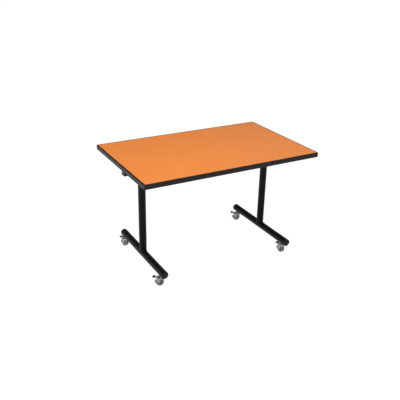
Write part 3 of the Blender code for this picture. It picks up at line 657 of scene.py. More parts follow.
def paths_of(paths):
    """Return a mesh of edges from (points, closed) paths for the weld tree."""
    points = []
    edges = []
    for path, closed in paths:
        first = len(points)
        points += path
        edges += [(first + index, first + index + 1) for index in range(len(path) - 1)]
        if closed:
            edges.append((len(points) - 1, first))
    mesh = bpy.data.meshes.new("paths")
    mesh.from_pydata(points, edges, [])
    return mesh


# Finishes
class Finish:
    """A material built up node by node, with its patterns in the object's own coordinates."""

    MIX_FIRST, MIX_SECOND, MIX_RESULT = 6, 7, 2

    def __init__(self, name, base, roughness, metallic=0.0, specular=0.5):
        self.base = tuple(base)
        self.material = bpy.data.materials.new(name)
        self.material.use_nodes = True
        self.material.diffuse_color = (*base, 1.0)
        self.tree = self.material.node_tree
        self.shader = self.tree.nodes["Principled BSDF"]
        uniform = {"Base Color": (*base, 1.0), "Roughness": roughness, "Metallic": metallic,
                   "Specular IOR Level": specular}
        for socket, value in uniform.items():
            self.shader.inputs[socket].default_value = value
        self.place = wire(self.tree, "ShaderNodeTexCoord", {}, "Object")

    def noise(self, scale, detail, stretch=(1.0, 1.0, 1.0)):
        place = wire(self.tree, "ShaderNodeMapping", {"Vector": self.place, "Scale": stretch})
        return wire(self.tree, "ShaderNodeTexNoise", {"Vector": place, "Scale": scale, "Detail": detail})

    def cells(self, scale):
        tint = wire(self.tree, "ShaderNodeTexVoronoi", {"Vector": self.place, "Scale": scale}, "Color")
        return tint, tint.node.outputs["Distance"]

    def spread(self, factor, least, most, low=0.3, high=0.7):
        """Map low to high onto least to most."""
        inputs = {"Value": factor, "From Min": low, "From Max": high, "To Min": least, "To Max": most}
        return wire(self.tree, "ShaderNodeMapRange", inputs)

    def shade(self, amount):
        return tuple(min(part * amount, 1.0) for part in self.base)

    def mixed(self, factor, first, second):
        inputs = {"Factor": factor}
        for socket, tint in ((self.MIX_FIRST, first), (self.MIX_SECOND, second)):
            inputs[socket] = tint if isinstance(tint, bpy.types.NodeSocket) else (*tint, 1.0)
        return wire(self.tree, "ShaderNodeMix", inputs, self.MIX_RESULT, data_type="RGBA")

    def shaded(self, factor, first, second):
        """Mix two shades of the base colour."""
        return self.mixed(factor, self.shade(first), self.shade(second))

    def drive(self, socket, output):
        self.tree.links.new(output, self.shader.inputs[socket])

    def colour_worn_and_highlit(self, tint, most, paler):
        """Colour the surface with a tint, and with a paler shade on its edges: wear, and on the laminate a
        painted highlight.
        """
        wear = wire(self.tree, "ShaderNodeAttribute", {}, "Fac", attribute_name="wear")
        amount = maths(self.tree, "MULTIPLY", wear, most)
        self.drive("Base Color", self.mixed(amount, tint, self.shade(paler)))

    def raise_by(self, height, distance, strength):
        inputs = {"Height": height, "Distance": distance, "Strength": strength}
        self.drive("Normal", wire(self.tree, "ShaderNodeBump", inputs))


def laminate_finish(name, base):
    """Satin decorative laminate: faint clouds and flecks, a fine pebbled surface and a painted highlight
    along its edges.
    """
    made = Finish(name, base, 0.46, specular=0.09)
    clouded = made.shaded(made.spread(made.noise(5.0, 4.0), 0.0, 1.0), 0.985, 1.015)
    flecks = made.spread(made.noise(1400.0, 2.0), 0.0, 0.25, 0.55, 0.75)
    # Paler edges here are a painted highlight: a thin light line along the laminate's rim.
    made.colour_worn_and_highlit(made.mixed(flecks, clouded, made.shade(0.80)), 0.3, 1.25)
    smears = made.noise(9.0, 5.0, stretch=(1.0, 2.5, 1.0))
    made.drive("Roughness", made.spread(smears, 0.42, 0.52))
    made.raise_by(made.noise(1100.0, 2.0), 0.00004, 0.5)
    return made.material


def board_finish(name, base):
    """Particle board: pressed chips of several browns."""
    made = Finish(name, base, 0.88, specular=0.2)
    chips, depth = made.cells(420.0)
    browns = made.shaded(made.spread(made.noise(260.0, 2.0), 0.0, 1.0, 0.35, 0.65), 0.70, 1.20)
    made.drive("Base Color", made.mixed(0.15, browns, chips))
    made.raise_by(depth, 0.0004, 0.6)
    return made.material


def backer_finish(name, base):
    """Dark balancing sheet: faint fibre clouds and a dull sheen."""
    made = Finish(name, base, 0.62, specular=0.3)
    fibre = made.spread(made.noise(60.0, 6.0, stretch=(0.25, 1.0, 1.0)), 0.0, 1.0)
    made.drive("Base Color", made.shaded(fibre, 0.85, 1.18))
    made.drive("Roughness", made.spread(fibre, 0.56, 0.70, 0.0, 1.0))
    made.raise_by(made.noise(700.0, 2.0), 0.00004, 0.5)
    return made.material


def moulded_finish(name, base, roughness, specular, worn):
    """Moulded plastic or rubber: a fine spark texture, faint flow clouds and paler worn edges."""
    made = Finish(name, base, roughness, specular=specular)
    clouds = made.spread(made.noise(30.0, 4.0), 0.0, 1.0)
    made.colour_worn_and_highlit(made.shaded(clouds, 0.85, 1.15), worn, 3.0)
    grain = made.noise(1600.0, 3.0)
    made.drive("Roughness", made.spread(grain, roughness - 0.06, roughness + 0.08))
    made.raise_by(grain, 0.00006, 0.7)
    return made.material


def coat_finish(name, base):
    """Semi-gloss black powder coat: an even orange peel, faint dust and thinner edges."""
    made = Finish(name, base, 0.36, specular=0.08)
    dust = made.spread(made.noise(40.0, 6.0), 0.0, 0.35, 0.45, 0.8)
    made.colour_worn_and_highlit(made.shaded(dust, 1.0, 2.0), 0.4, 4.5)
    made.drive("Roughness", made.spread(made.noise(18.0, 4.0), 0.32, 0.42))
    made.raise_by(made.noise(650.0, 1.5), 0.00008, 0.55)
    return made.material


def plated_finish(name, base, metallic, dull, bright, marks):
    """Plated steel: a milky tint that drifts, fine rubbing marks and brighter edges."""
    made = Finish(name, base, (dull + bright) / 2, metallic)
    drift = made.spread(made.noise(90.0, 5.0), 0.0, 1.0)
    milky = (base[0] * 0.80, base[1] * 0.80, base[2] * 0.84)
    made.colour_worn_and_highlit(made.mixed(drift, milky, made.shade(1.08)), 0.5, 1.35)
    rubbing = made.noise(700.0, 4.0, stretch=marks)
    made.drive("Roughness", made.spread(rubbing, bright, dull))
    made.raise_by(rubbing, 0.00003, 0.35)
    return made.material


def tyre_finish(name, base):
    """Olive grey tread: scuffs, floor dust in the pores and a dull skin."""
    made = Finish(name, base, 0.58, specular=0.35)
    scuffs = made.spread(made.noise(160.0, 6.0), 0.0, 1.0, 0.40, 0.70)
    made.colour_worn_and_highlit(made.shaded(scuffs, 0.82, 1.22), 0.4, 1.7)
    made.drive("Roughness", made.spread(scuffs, 0.50, 0.68, 0.0, 1.0))
    made.raise_by(made.noise(1200.0, 3.0), 0.00008, 0.6)
    return made.material


# Each slot's material, the settings that hold its colour, its maker and what else the maker takes
FINISHES = {
    "laminate": ("orange_laminate", "table_top", laminate_finish),
    "board": ("particle_board", "table_top", board_finish),
    "backer": ("dark_backer", "table_top", backer_finish),
    "band": ("black_vinyl", "table_top", moulded_finish, 0.48, 0.18, 0.35),
    "coat": ("black_powder_coat", "table_frame", coat_finish),
    "plastic": ("black_plastic", "table_frame", moulded_finish, 0.42, 0.14, 0.3),
    "rubber": ("black_rubber", "table_frame", moulded_finish, 0.78, 0.25, 0.2),
    "zinc": ("bright_zinc", "table_frame", plated_finish, 0.55, 0.40, 0.24, (1.0, 1.0, 0.2)),
    "tyre": ("grey_tyre", "table_casters", tyre_finish),
    "hub": ("grey_hub", "table_casters", moulded_finish, 0.45, 0.45, 0.12),
    "pedal": ("pressed_steel", "table_casters", plated_finish, 0.30, 0.46, 0.30, (1.0, 0.2, 1.0)),
}


def finish(slot):
    """Return a slot's material, which takes its colour from the setting of the slot's name."""
    name, settings, maker, *looks = FINISHES[slot]
    base = getattr(getattr(bpy.context.scene, settings), slot)
    return bpy.data.materials.get(name) or maker(name, base, *looks)


# Pieces
def mark_edge_wear_and_highlight(mesh):
    """Store how far each point stands out, from 0 on a flat to 1 on a corner, for paler edges: wear, and a
    painted highlight on the laminate.
    """
    slight = math.radians(18)
    full = math.radians(90)
    body = bmesh.new()
    body.from_mesh(mesh)
    values = []
    for vertex in body.verts:
        angles = [edge.calc_face_angle_signed(0.0) for edge in vertex.link_edges]
        bend = sum(angle for angle in angles if angle > 0.0)
        values.append(min(max((bend - slight) / (full - slight), 0.0), 1.0))
    body.free()
    mesh.attributes.new("wear", "FLOAT", "POINT").data.foreach_set("value", values)


def add_piece(name, shape, slot, rider, *replaced):
    """Add a finished piece that rides on a body and stands for solids."""
    mesh = as_mesh(shape, name) if isinstance(shape, bmesh.types.BMesh) else shape
    mesh.name = name
    mark_edge_wear_and_highlight(mesh)
    mesh.materials.clear()
    mesh.materials.append(finish(slot))
    mesh.shade_smooth()
    mesh.set_sharp_from_angle(angle=SHARP_ANGLE)
    piece = bpy.data.objects.new(name, mesh)
    bpy.context.scene.collection.objects.link(piece)
    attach(piece, rider)
    if replaced:
        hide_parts(*replaced)


def refinish(node, slot):
    """Give a solid that stays in view its finish."""
    solid = frame["nodes"][node]
    for holder in solid.material_slots:
        holder.material = finish(slot)


# Table top
def top_ring(inset, height):
    radius = max(bpy.context.scene.table_top.corner - inset, LEAST_CORNER)
    outline = rounded_rectangle(BAND_HIGH.x - inset, BAND_HIGH.y - inset, radius)
    return [Vector((x, y, height)) for x, y in outline]


def edge_band():
    """Return the vinyl edge: a rounded face and a tongue in the core's groove."""
    rounding = bpy.context.scene.table_top.band_rounding
    guard = BAND_GUARD * rounding
    low, high = BAND_LOW.z, BAND_HIGH.z
    tongue_end = BAND_WIDTH + TONGUE_DEPTH
    upper = arc((rounding, high - rounding), rounding, 90.0, 180.0, CORNER_STEPS)
    lower = arc((rounding, low + rounding), rounding, 180.0, 270.0, CORNER_STEPS)
    sections = [(BAND_WIDTH, high), (guard, high), *upper, *lower, (guard, low), (BAND_WIDTH, low)]
    for inset, side in ((BAND_WIDTH, -1), (tongue_end, -1), (tongue_end, 1), (BAND_WIDTH, 1)):
        sections.append((inset, (low + high + side * TONGUE_THICKNESS) / 2))
    return skinned([top_ring(inset, height) for inset, height in sections], looped=True)


class TABLE_OT_top(bpy.types.Operator):
    """Make the laminate and the edge band, and finish the core and the backing sheet"""
    bl_idname = "folding_table.top"
    bl_label = "Table Top"

    def execute(self, context):
        top = context.scene.table_top
        radius = max(top.corner - BAND_WIDTH, LEAST_CORNER)
        outline = rounded_rectangle(SHEET_HIGH.x, SHEET_HIGH.y, radius)
        sheet = slab(outline, SHEET_LOW.z, SHEET_HIGH.z, top.sheet_edge)
        add_piece("top_laminate", sheet, "laminate", "top", "laminate_sheet")
        add_piece("top_edge_band", edge_band(), "band", "top", "edge_band")
        refinish("core_board", "board")
        refinish("backer_sheet", "backer")
        return {"FINISHED"}


# Tilt hinges, drawn round the pin's middle
def knuckle(middle, run, flipped):
    """Return a rolled knuckle with the web that carries it."""
    edge = bpy.context.scene.table_frame.plate_edge
    inner = KNUCKLE_RADIUS - LEAF_THICKNESS
    start = math.degrees(math.acos(inner / KNUCKLE_RADIUS))
    web_end = -(KNUCKLE_RADIUS + RUNNING_GAP + LEAF_THICKNESS / 2)
    outline = arc((0.0, 0.0), KNUCKLE_RADIUS, 0.0, 360.0 - start, 2 * ARC_STEPS)
    outline += [(inner, web_end), (KNUCKLE_RADIUS, web_end)]
    if flipped:
        outline = [(v, u) for u, v in reversed(outline)]
    return slab(outline, middle - run / 2, middle + run / 2, edge, place=ALONG_X)


def hinge_leaf(width, place, knuckles):
    """Return a leaf: a plate with rounded corners, its knuckles and the pin's bore."""
    edge = bpy.context.scene.table_frame.plate_edge
    corner = 0.005
    outline = tab(HINGE_LENGTH / 2, -width, -(KNUCKLE_RADIUS + RUNNING_GAP), corner)
    plate = slab(outline, KNUCKLE_RADIUS - LEAF_THICKNESS, KNUCKLE_RADIUS, edge, place=place)
    bore = rod(HINGE_PIN_RADIUS + FIT_GAP, -HINGE_LENGTH, HINGE_LENGTH, place=ALONG_X)
    return cut(joined([plate, *knuckles]), [bore])


def hinge_pin():
    """Return a pin with two low domed heads."""
    half = HINGE_LENGTH / 2 + FIT_GAP
    side = [(0.0, half + HINGE_PIN_HEAD)]
    for across, rise in arc((0.0, 0.0), 1.0, 90.0, 0.0, CORNER_STEPS)[1:]:
        side.append((HINGE_PIN_HEAD_RADIUS * across, half + HINGE_PIN_HEAD * rise))
    side.append((HINGE_PIN_RADIUS, half))
    return turned(mirrored(side), place=ALONG_X)


class TABLE_OT_hinges(bpy.types.Operator):
    """Make the two tilt hinges with their pins"""
    bl_idname = "folding_table.hinges"
    bl_label = "Tilt Hinges"

    def execute(self, context):
        outer = (HINGE_LENGTH - KNUCKLE_LENGTH) / 2
        inner_run = HINGE_LENGTH - 2 * KNUCKLE_LENGTH - 2 * RUNNING_GAP
        for name, _ in SIDES:
            pair = [knuckle(side * outer, KNUCKLE_LENGTH, False) for _, side in SIDES]
            leaves = {"base": hinge_leaf(BASE_LEAF_WIDTH, ALONG_Y, pair),
                      "top": hinge_leaf(TOP_LEAF_WIDTH, ALONG_Z, [knuckle(0.0, inner_run, True)])}
            place = middle_of("hinge_pin_" + name)
            for body, leaf in leaves.items():
                add_piece(f"{name}_hinge_{body}_leaf", moved(leaf, place), "coat", body,
                          f"hinge_{body}_leaf_{name}")
            add_piece(name + "_hinge_pin", moved(hinge_pin(), place), "zinc", "base", "hinge_pin_" + name)
        return {"FINISHED"}


# Beam
def beam_outline(inset):
    middle = (BEAM_LOW.z + BEAM_HIGH.z) / 2
    half_height = (BEAM_HIGH.z - BEAM_LOW.z) / 2
    radius = max(BEAM_CORNER - inset, LEAST_CORNER)
    return rounded_rectangle(BEAM_HIGH.y - inset, half_height - inset, radius, (0.0, middle))


def beam_cap(side):
    """Return an end cap: a softened flange over the tube's end and a plug inside it."""
    face = CAP_HIGH.x
    seat = BEAM_HIGH.x + FIT_GAP
    softening = 0.0012
    plug = BEAM_WALL + FIT_GAP
    rounded = arc((softening, face - softening), softening, 180.0, 90.0, CORNER_STEPS)
    sections = [(plug, CAP_LOW.x), (plug, seat), (0.0, seat), *rounded, (2 * softening, face)]
    rings = []
    for inset, reach in sections:
        rings.append([Vector((side * reach, y, z)) for y, z in beam_outline(inset)])
    return skinned(rings)


def stop_strip():
    """Return the rubber strip with rounded ribs along its top."""
    ribs = bpy.context.scene.table_frame.strip_ribs
    least_floor = 0.001
    half = STRIP_HIGH.y
    pitch = 2 * half / ribs
    rise = min(pitch / 2, STRIP_HIGH.z - STRIP_LOW.z - least_floor)
    outline = [(-half, STRIP_LOW.z), (half, STRIP_LOW.z)]
    for index in range(ribs):
        centre = half - pitch * (index + 0.5)
        for across, up in arc((0.0, 0.0), 1.0, 10.0, 170.0, CORNER_STEPS):
            outline.append((centre + pitch / 2 * across, STRIP_HIGH.z - rise * (1.0 - up)))
    return slab(outline, STRIP_LOW.x, STRIP_HIGH.x, place=ALONG_X)


def tilt_bumper():
    """Return a turned bumper with a rounded rim and a screw recess."""
    radius = (BUMPER_HIGH.x - BUMPER_LOW.x) / 2
    near, far = BUMPER_HIGH.y, BUMPER_LOW.y
    rounding = 0.003
    recess, taper = 0.004, 0.9
    profile = [(0.0, near), (radius, near)]
    profile += arc((radius - rounding, far + rounding), rounding, 0.0, -90.0, CORNER_STEPS)
    profile += [(recess, far), (taper * recess, far + recess), (0.0, far + recess)]
    return turned(profile, place=ALONG_Y)


class TABLE_OT_beam(bpy.types.Operator):
    """Make the beam, its end caps, the rest strip and the bumper"""
    bl_idname = "folding_table.beam"
    bl_label = "Beam"

    def execute(self, context):
        bore = beam_outline(BEAM_WALL)
        shell = slab(beam_outline(0.0), BEAM_LOW.x, BEAM_HIGH.x, holes=[bore], place=ALONG_X)
        add_piece("beam_tube", shell, "coat", "base", "beam")
        for name, side in SIDES:
            add_piece(name + "_beam_cap", beam_cap(side), "plastic", "base", "beam_end_cap_" + name)
        add_piece("rest_strip", stop_strip(), "rubber", "base", "stop_strip")
        bumper = moved(tilt_bumper(), (0.0, 0.0, middle_of("tilt_bumper").z))
        add_piece("upright_bumper", bumper, "rubber", "base", "tilt_bumper")
        return {"FINISHED"}


# Lock bar, drawn round the rod's middle
def lock_rod():
    """Return the rod, necked at each ear, with chamfered ends."""
    half = ROD_HIGH.x
    chamfer = 0.0014
    neck_half = (EAR_HIGH.x - EAR_LOW.x) / 2 + NECK_PLAY
    ear = middle_of("lock_ear_right").x
    profile = [(0.0, -half), (LOCK_ROD_RADIUS - chamfer, -half), (LOCK_ROD_RADIUS, chamfer - half)]
    for _, side in SIDES:
        low, high = side * ear - neck_half, side * ear + neck_half
        profile += [(LOCK_ROD_RADIUS, low), (LOCK_NECK_RADIUS, low)]
        profile += [(LOCK_NECK_RADIUS, high), (LOCK_ROD_RADIUS, high)]
    profile += [(LOCK_ROD_RADIUS, half - chamfer), (LOCK_ROD_RADIUS - chamfer, half), (0.0, half)]
    return turned(profile, place=ALONG_X)


def lock_ear():
    """Return an ear with a round seat for the rod and a narrower slot up out of it."""
    edge = bpy.context.scene.table_frame.plate_edge
    bore = LOCK_ROD_RADIUS + RUNNING_GAP
    root = EAR_LOW.y - LOCK_LINE.y
    rim = EAR_HIGH.y - LOCK_LINE.y
    top = EAR_HIGH.z - LOCK_LINE.z
    slot = LOCK_NECK_RADIUS + LOCK_SLOT_PLAY
    opening = math.degrees(math.acos(slot / bore))
    seat = arc((0.0, 0.0), bore, opening, -180.0 - opening, 2 * ARC_STEPS)
    outer = arc((0.0, 0.0), rim, 270.0, 360.0, ARC_STEPS)
    near = [(-slot, top), (-rim, top), (root, LOCK_EAR_SHOULDER), (root, -rim)]
    half = (EAR_HIGH.x - EAR_LOW.x) / 2
    return slab([*outer, (rim, top), (slot, top), *seat, *near], -half, half, edge, place=ALONG_X)


def rod_guide():
    """Return a moulded guide block with screw flanges."""
    edge = 0.0008
    bore = LOCK_ROD_RADIUS + RUNNING_GAP
    half = bore + GUIDE_WALL
    reach = GUIDE_HIGH.y - LOCK_LINE.y
    top = GUIDE_HIGH.z - LOCK_LINE.z
    flange = top - GUIDE_FLANGE
    outline = [*arc((0.0, 0.0), half, 180.0, 360.0, 2 * ARC_STEPS), (half, flange), (reach, flange)]
    outline += [(reach, top), (-reach, top), (-reach, flange), (-half, flange)]
    half_length = (GUIDE_HIGH.x - GUIDE_LOW.x) / 2
    return slab(outline, -half_length, half_length, edge, [circle(bore)], ALONG_X)


def handle_place():
    """Return the frame of the handle's bar: its own X along the table, Y out along the bar."""
    along = Vector((0.0, HANDLE_LENGTH, -HANDLE_FALL)).normalized()
    across = Vector((1.0, 0.0, 0.0))
    return frame_at(LOCK_LINE, across, along, across.cross(along))


def lock_handle():
    """Return the handle: a boss on the rod and a flat bar."""
    boss_edge = 0.001
    bar_edge = 0.0015
    corner = 0.003
    half = HANDLE_THICKNESS / 2
    boss = slab(circle(LOCK_ROD_RADIUS + HANDLE_BAR / 2), -half, half, boss_edge, place=ALONG_X)
    bar_outline = rounded_rectangle(half, HANDLE_LENGTH / 2, corner, (0.0, HANDLE_LENGTH / 2))
    bar = slab(bar_outline, -HANDLE_BAR / 2, HANDLE_BAR / 2, bar_edge)
    bore = rod(LOCK_ROD_RADIUS + FIT_GAP, -HANDLE_THICKNESS, HANDLE_THICKNESS, place=ALONG_X)
    return placed(cut(joined([boss, bar]), [bore]), handle_place())


def handle_grip():
    """Return the grip: a softened cover on the bar's end with finger ribs on both faces."""
    corner = 0.007
    edge = 0.0025
    rib_half, rib_inset, rib_corner = 0.0011, 0.004, 0.001
    rib_rise, rib_edge = 0.0006, 0.0005
    bare_ends = 0.016
    half = HANDLE_BAR / 2 + FIT_GAP + GRIP_WALL
    start = HANDLE_LENGTH - GRIP_LENGTH
    end = HANDLE_LENGTH + FIT_GAP + GRIP_WALL
    middle = Vector((0.0, (start + end) / 2, 0.0))
    cover = slab(rounded_rectangle(GRIP_WIDTH / 2, (end - start) / 2, corner, middle), -half, half, edge)
    rib_outline = rounded_rectangle(GRIP_WIDTH / 2 - rib_inset, rib_half, rib_corner)
    rib = slab(rib_outline, -half - rib_rise, half + rib_rise, rib_edge)
    run = Vector((0.0, GRIP_LENGTH - bare_ends, 0.0))
    whole = ribbed(cover, rib, bpy.context.scene.table_frame.grip_ribs, middle, run)
    return placed(whole, handle_place())


class TABLE_OT_lock(bpy.types.Operator):
    """Make the lock rod, its handle, guides and ears"""
    bl_idname = "folding_table.lock"
    bl_label = "Lock Bar"

    def execute(self, context):
        for name, _ in SIDES:
            for label, part, slot, body in (("rod_guide", rod_guide(), "plastic", "top"),
                                            ("lock_ear", lock_ear(), "coat", "base")):
                node = label + "_" + name
                place = (middle_of(node).x, LOCK_LINE.y, LOCK_LINE.z)
                add_piece(name + "_" + label, moved(part, place), slot, body, node)
        add_piece("lock_bar_rod", moved(lock_rod(), LOCK_LINE), "zinc", "lock_bar", "lock_rod")
        add_piece("lock_bar_handle", lock_handle(), "coat", "lock_bar", "lock_handle")
        add_piece("lock_bar_grip", handle_grip(), "plastic", "lock_bar", "handle_grip")
        return {"FINISHED"}


# Legs
def saddle_height(across, clearance=0.0):
    """Return the height of the foot tube's top at a distance across from its axis."""
    reach = FOOT_RADIUS + clearance
    return FOOT_AXIS + math.sqrt(max(reach * reach - across * across, 0.0))


def column():
    """Return a column tube, cut at its foot to sit on the round foot tube."""
    saddle_room = 1.6
    straight_start = FOOT_AXIS + saddle_room * FOOT_RADIUS
    rings = []
    for radius, rising in ((COLUMN_RADIUS, True), (COLUMN_RADIUS - TUBE_WALL, False)):
        flat = circle(radius, ROUND_SIDES)
        wall = [[Vector((x, y, saddle_height(x, FIT_GAP))) for x, y in flat]]
        for height in (straight_start, COLUMN_HIGH.z):
            wall.append([Vector((x, y, height)) for x, y in flat])
        rings += wall if rising else reversed(wall)
    return skinned(rings, looped=True)


def foot():
    """Return a foot tube with the threaded sockets that hold the casters."""
    bore = circle(FOOT_RADIUS - TUBE_WALL, ROUND_SIDES)
    shell = slab(circle(FOOT_RADIUS, ROUND_SIDES), FOOT_LOW.y, FOOT_HIGH.y, holes=[bore], place=ALONG_Y)
    moved(shell, (0.0, 0.0, FOOT_AXIS))
    sockets = []
    bores = []
    for end, _ in ENDS:
        place = (0.0, middle_of("caster_stem_" + end + "_left").y, FOOT_LOW.z)
        sockets.append(moved(rod(SOCKET_RADIUS, 0.0, SOCKET_LENGTH, SOCKET_SIDES), place))
        bores.append(moved(rod(STEM_RADIUS + FIT_GAP, -SOCKET_LENGTH, SOCKET_LENGTH + TUBE_WALL), place))
    return cut(joined([shell, *sockets]), bores)


def foot_plug(end):
    """Return a foot's end plug: a plug in the tube, a fine shadow line and a low dome."""
    line = 0.0004
    fullness = 0.5
    plug = FOOT_RADIUS - TUBE_WALL - FIT_GAP
    low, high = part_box("foot_cap_rear_left")
    face = FOOT_HIGH.y + FIT_GAP
    profile = [(0.0, low.y), (plug, low.y), (plug, face), (FOOT_RADIUS - line, face)]
    for across, rise in arc((0.0, 0.0), 1.0, 0.0, 90.0, 2 * ARC_STEPS)[:-1]:
        profile.append((FOOT_RADIUS * across ** fullness, face + line + (high.y - face - line) * rise))
    profile.append((0.0, high.y))
    return turned([(radius, end * height) for radius, height in profile], ROUND_SIDES, ALONG_Y)


def leg_plate():
    edge = bpy.context.scene.table_frame.plate_edge
    half_length = (PLATE_HIGH.x - PLATE_LOW.x) / 2
    outline = rounded_rectangle(half_length, PLATE_HIGH.y, LEG_PLATE_CORNER)
    return slab(outline, PLATE_LOW.z, PLATE_HIGH.z, edge)


class TABLE_OT_legs(bpy.types.Operator):
    """Make the leg plates, columns, feet and foot plugs"""
    bl_idname = "folding_table.legs"
    bl_label = "Legs"

    def execute(self, context):
        for name, _ in SIDES:
            place = Vector((LEG_PLACES[name], 0.0, 0.0))
            for label, part, node in (("plate", leg_plate(), "leg_plate"), ("column", column(), "column"),
                                      ("foot", foot(), "foot")):
                add_piece(f"{name}_leg_{label}", moved(part, place), "coat", "base", node + "_" + name)
            place.z = FOOT_AXIS
            for end_name, end in ENDS:
                corner = end_name + "_" + name
                plug = moved(foot_plug(end), place)
                add_piece(corner + "_foot_plug", plug, "plastic", "base", "foot_cap_" + corner)
        return {"FINISHED"}


class TABLE_OT_welds(bpy.types.Operator):
    """Run weld beads round each column's foot and top and up the roots of the lock ears"""
    bl_idname = "folding_table.welds"
    bl_label = "Welds"

    def execute(self, context):
        settings = context.scene.table_frame
        out, under = 0.35 * settings.weld, 0.3 * settings.weld
        low_end, high_end = 0.003, 0.002
        line = circle(COLUMN_RADIUS + out, ROUND_SIDES)
        ear_half = (EAR_HIGH.x - EAR_LOW.x) / 2
        root = BEAM_HIGH.y + FIT_GAP
        levels = (EAR_LOW.z + low_end, LOCK_LINE.z + LOCK_EAR_SHOULDER - high_end)
        paths = []
        for name, _ in SIDES:
            leg = LEG_PLACES[name]
            ear = middle_of("lock_ear_" + name).x
            paths.append(([(leg + x, y, saddle_height(min(abs(x), FOOT_RADIUS))) for x, y in line], True))
            paths.append(([(leg + x, y, COLUMN_HIGH.z - under) for x, y in line], True))
            for face in (ear - ear_half, ear + ear_half):
                paths.append(([(face, root, level) for level in levels], False))
        sizes = {"Radius": settings.weld, "Ripple": settings.weld_ripple, "Finish": finish("coat")}
        add_piece("weld_beads", grown("weld_bead", sizes, paths_of(paths)), "coat", "base")
        return {"FINISHED"}


# Fasteners, standing on their seats along Z
def shank_rings(shank):
    reach = 3 * shank
    return [ring(shank, -reach), ring(shank, 0.0)]


def screw_body(radius):
    """Return a button head screw with a hexagon socket."""
    height = 0.5 * radius
    rim = 0.25 * height
    socket = 0.5 * radius
    mouth, floor = 1.15 * socket, 0.3 * height
    rings = shank_rings(0.5 * radius) + [ring(radius, 0.0), ring(radius, rim)]
    for across, rise in arc((0.0, 0.0), 1.0, 20.0, 65.0, EDGE_STEPS):
        rings.append(ring(radius * across, rim + (height - rim) * rise))
    return skinned(rings + [ring(mouth, height), hexagon(socket, height), hexagon(socket, floor)])


def bolt_body(radius, height, shank):
    """Return a hexagon bolt with a washer."""
    washer, thickness = 1.35 * radius, 0.2 * height
    softening = 0.3 * thickness
    bevel, crown, guard = 0.12 * radius, 0.84 * radius, 0.5 * radius
    rings = shank_rings(shank) + [ring(washer, 0.0), ring(washer, thickness - softening)]
    rings += [ring(washer - softening, thickness), hexagon(radius, thickness)]
    return skinned(rings + [hexagon(radius, height - bevel), ring(crown, height), ring(guard, height)])


class TABLE_OT_fasteners(bpy.types.Operator):
    """Set the hinge screws, the guide screws and the leg bolts"""
    bl_idname = "folding_table.fasteners"
    bl_label = "Fasteners"

    def execute(self, context):
        down, ahead = (0.0, 0.0, -1.0), (0.0, -1.0, 0.0)
        leaf_turn, guide_turn, bolt_turn = 0.7, 0.4, 0.9
        leaf_face = KNUCKLE_RADIUS - LEAF_THICKNESS
        guide_half = LOCK_ROD_RADIUS + RUNNING_GAP + GUIDE_WALL
        guide_reach = (guide_half + GUIDE_HIGH.y - LOCK_LINE.y) / 2
        base_screws, top_screws, bolts = [], [], []
        for name, _ in SIDES:
            hinge = middle_of("hinge_pin_" + name).x
            for step, (base_reach, top_reach) in enumerate(LEAF_SCREW_REACH):
                x = hinge + (step - 1) * LEAF_SCREW_SPREAD
                spin = leaf_turn * step
                base_screws.append(((x, PIVOT.y + leaf_face, PIVOT.z - base_reach), ahead, spin))
                top_screws.append(((x, PIVOT.y - top_reach, PIVOT.z + leaf_face), down, spin))
            guide = middle_of("rod_guide_" + name).x
            for _, side in SIDES:
                flange = (guide, LOCK_LINE.y + side * guide_reach, GUIDE_HIGH.z - GUIDE_FLANGE)
                top_screws.append((flange, down, guide_turn * side))
                seat = (LEG_PLACES[name] + side * LEG_BOLT_SPREAD, 0.0, PLATE_LOW.z)
                bolts.append((seat, down, bolt_turn * side))
        screw = context.scene.table_frame.screw_head
        solid_bolts = [node for node in frame["nodes"] if node.startswith("leg_bolt_")]
        for name, member, places, body, replaced in (
                ("hinge_screws", screw_body(screw), base_screws, "base", []),
                ("underside_screws", screw_body(screw), top_screws, "top", []),
                ("leg_bolts", bolt_body(*LEG_BOLT_SIZES), bolts, "base", solid_bolts)):
            mesh = copied("fasteners", member, "zinc", {}, points_of(places))
            add_piece(name, mesh, "zinc", body, *replaced)
        return {"FINISHED"}


# Casters, drawn in their own frame
def caster_frame(corner):
    across = Vector(JOINTS["wheel_spin_" + corner]["axis"]).normalized()
    up = Vector((0.0, 0.0, 1.0))
    place = Vector(JOINTS["caster_swivel_" + corner]["pos_m"])
    place.z = 0.0
    return frame_at(place, across.cross(up), across, up)


def caster_point(joint):
    """Return a joint's place in its caster's frame."""
    return caster_frame("front_left").inverted() @ Vector(JOINTS[joint + "_front_left"]["pos_m"])


WHEEL_CENTRE = caster_point("wheel_spin")
WHEEL_RADIUS = WHEEL_CENTRE.z
PEDAL_PIVOT = caster_point("brake_press")
PEDAL_DIRECTION = Vector((-PEDAL_LENGTH, 0.0, PEDAL_RISE)).normalized()


def add_caster_pieces(label, shape, slot, body, node=None):
    """Add a caster's piece at all four corners."""
    mesh = as_mesh(shape, label)
    for corner in CORNERS:
        own = mesh.copy()
        own.transform(caster_frame(corner))
        replaced = [node + "_" + corner] if node else []
        rider = body + "_" + corner if body else "base"
        add_piece(corner + "_caster_" + label, own, slot, rider, *replaced)
    bpy.data.meshes.remove(mesh)


def tyre():
    """Return the tyre: a flat tread with round shoulders and a bead line on each wall."""
    rounding = bpy.context.scene.table_casters.tread_rounding
    bevel = 0.0006
    groove = 0.0004
    half = TYRE_WIDTH / 2
    inner = RIM_RADIUS + FIT_GAP
    line = WHEEL_RADIUS - rounding - 2 * groove
    side = [(inner, half - bevel), (inner + bevel, half)]
    side += [(line - groove, half), (line, half - groove), (line + groove, half)]
    side += arc((WHEEL_RADIUS - rounding, half - rounding), rounding, 90.0, 0.0, CORNER_STEPS)
    return moved(turned(mirrored(side), WHEEL_SIDES, ALONG_Y), WHEEL_CENTRE)


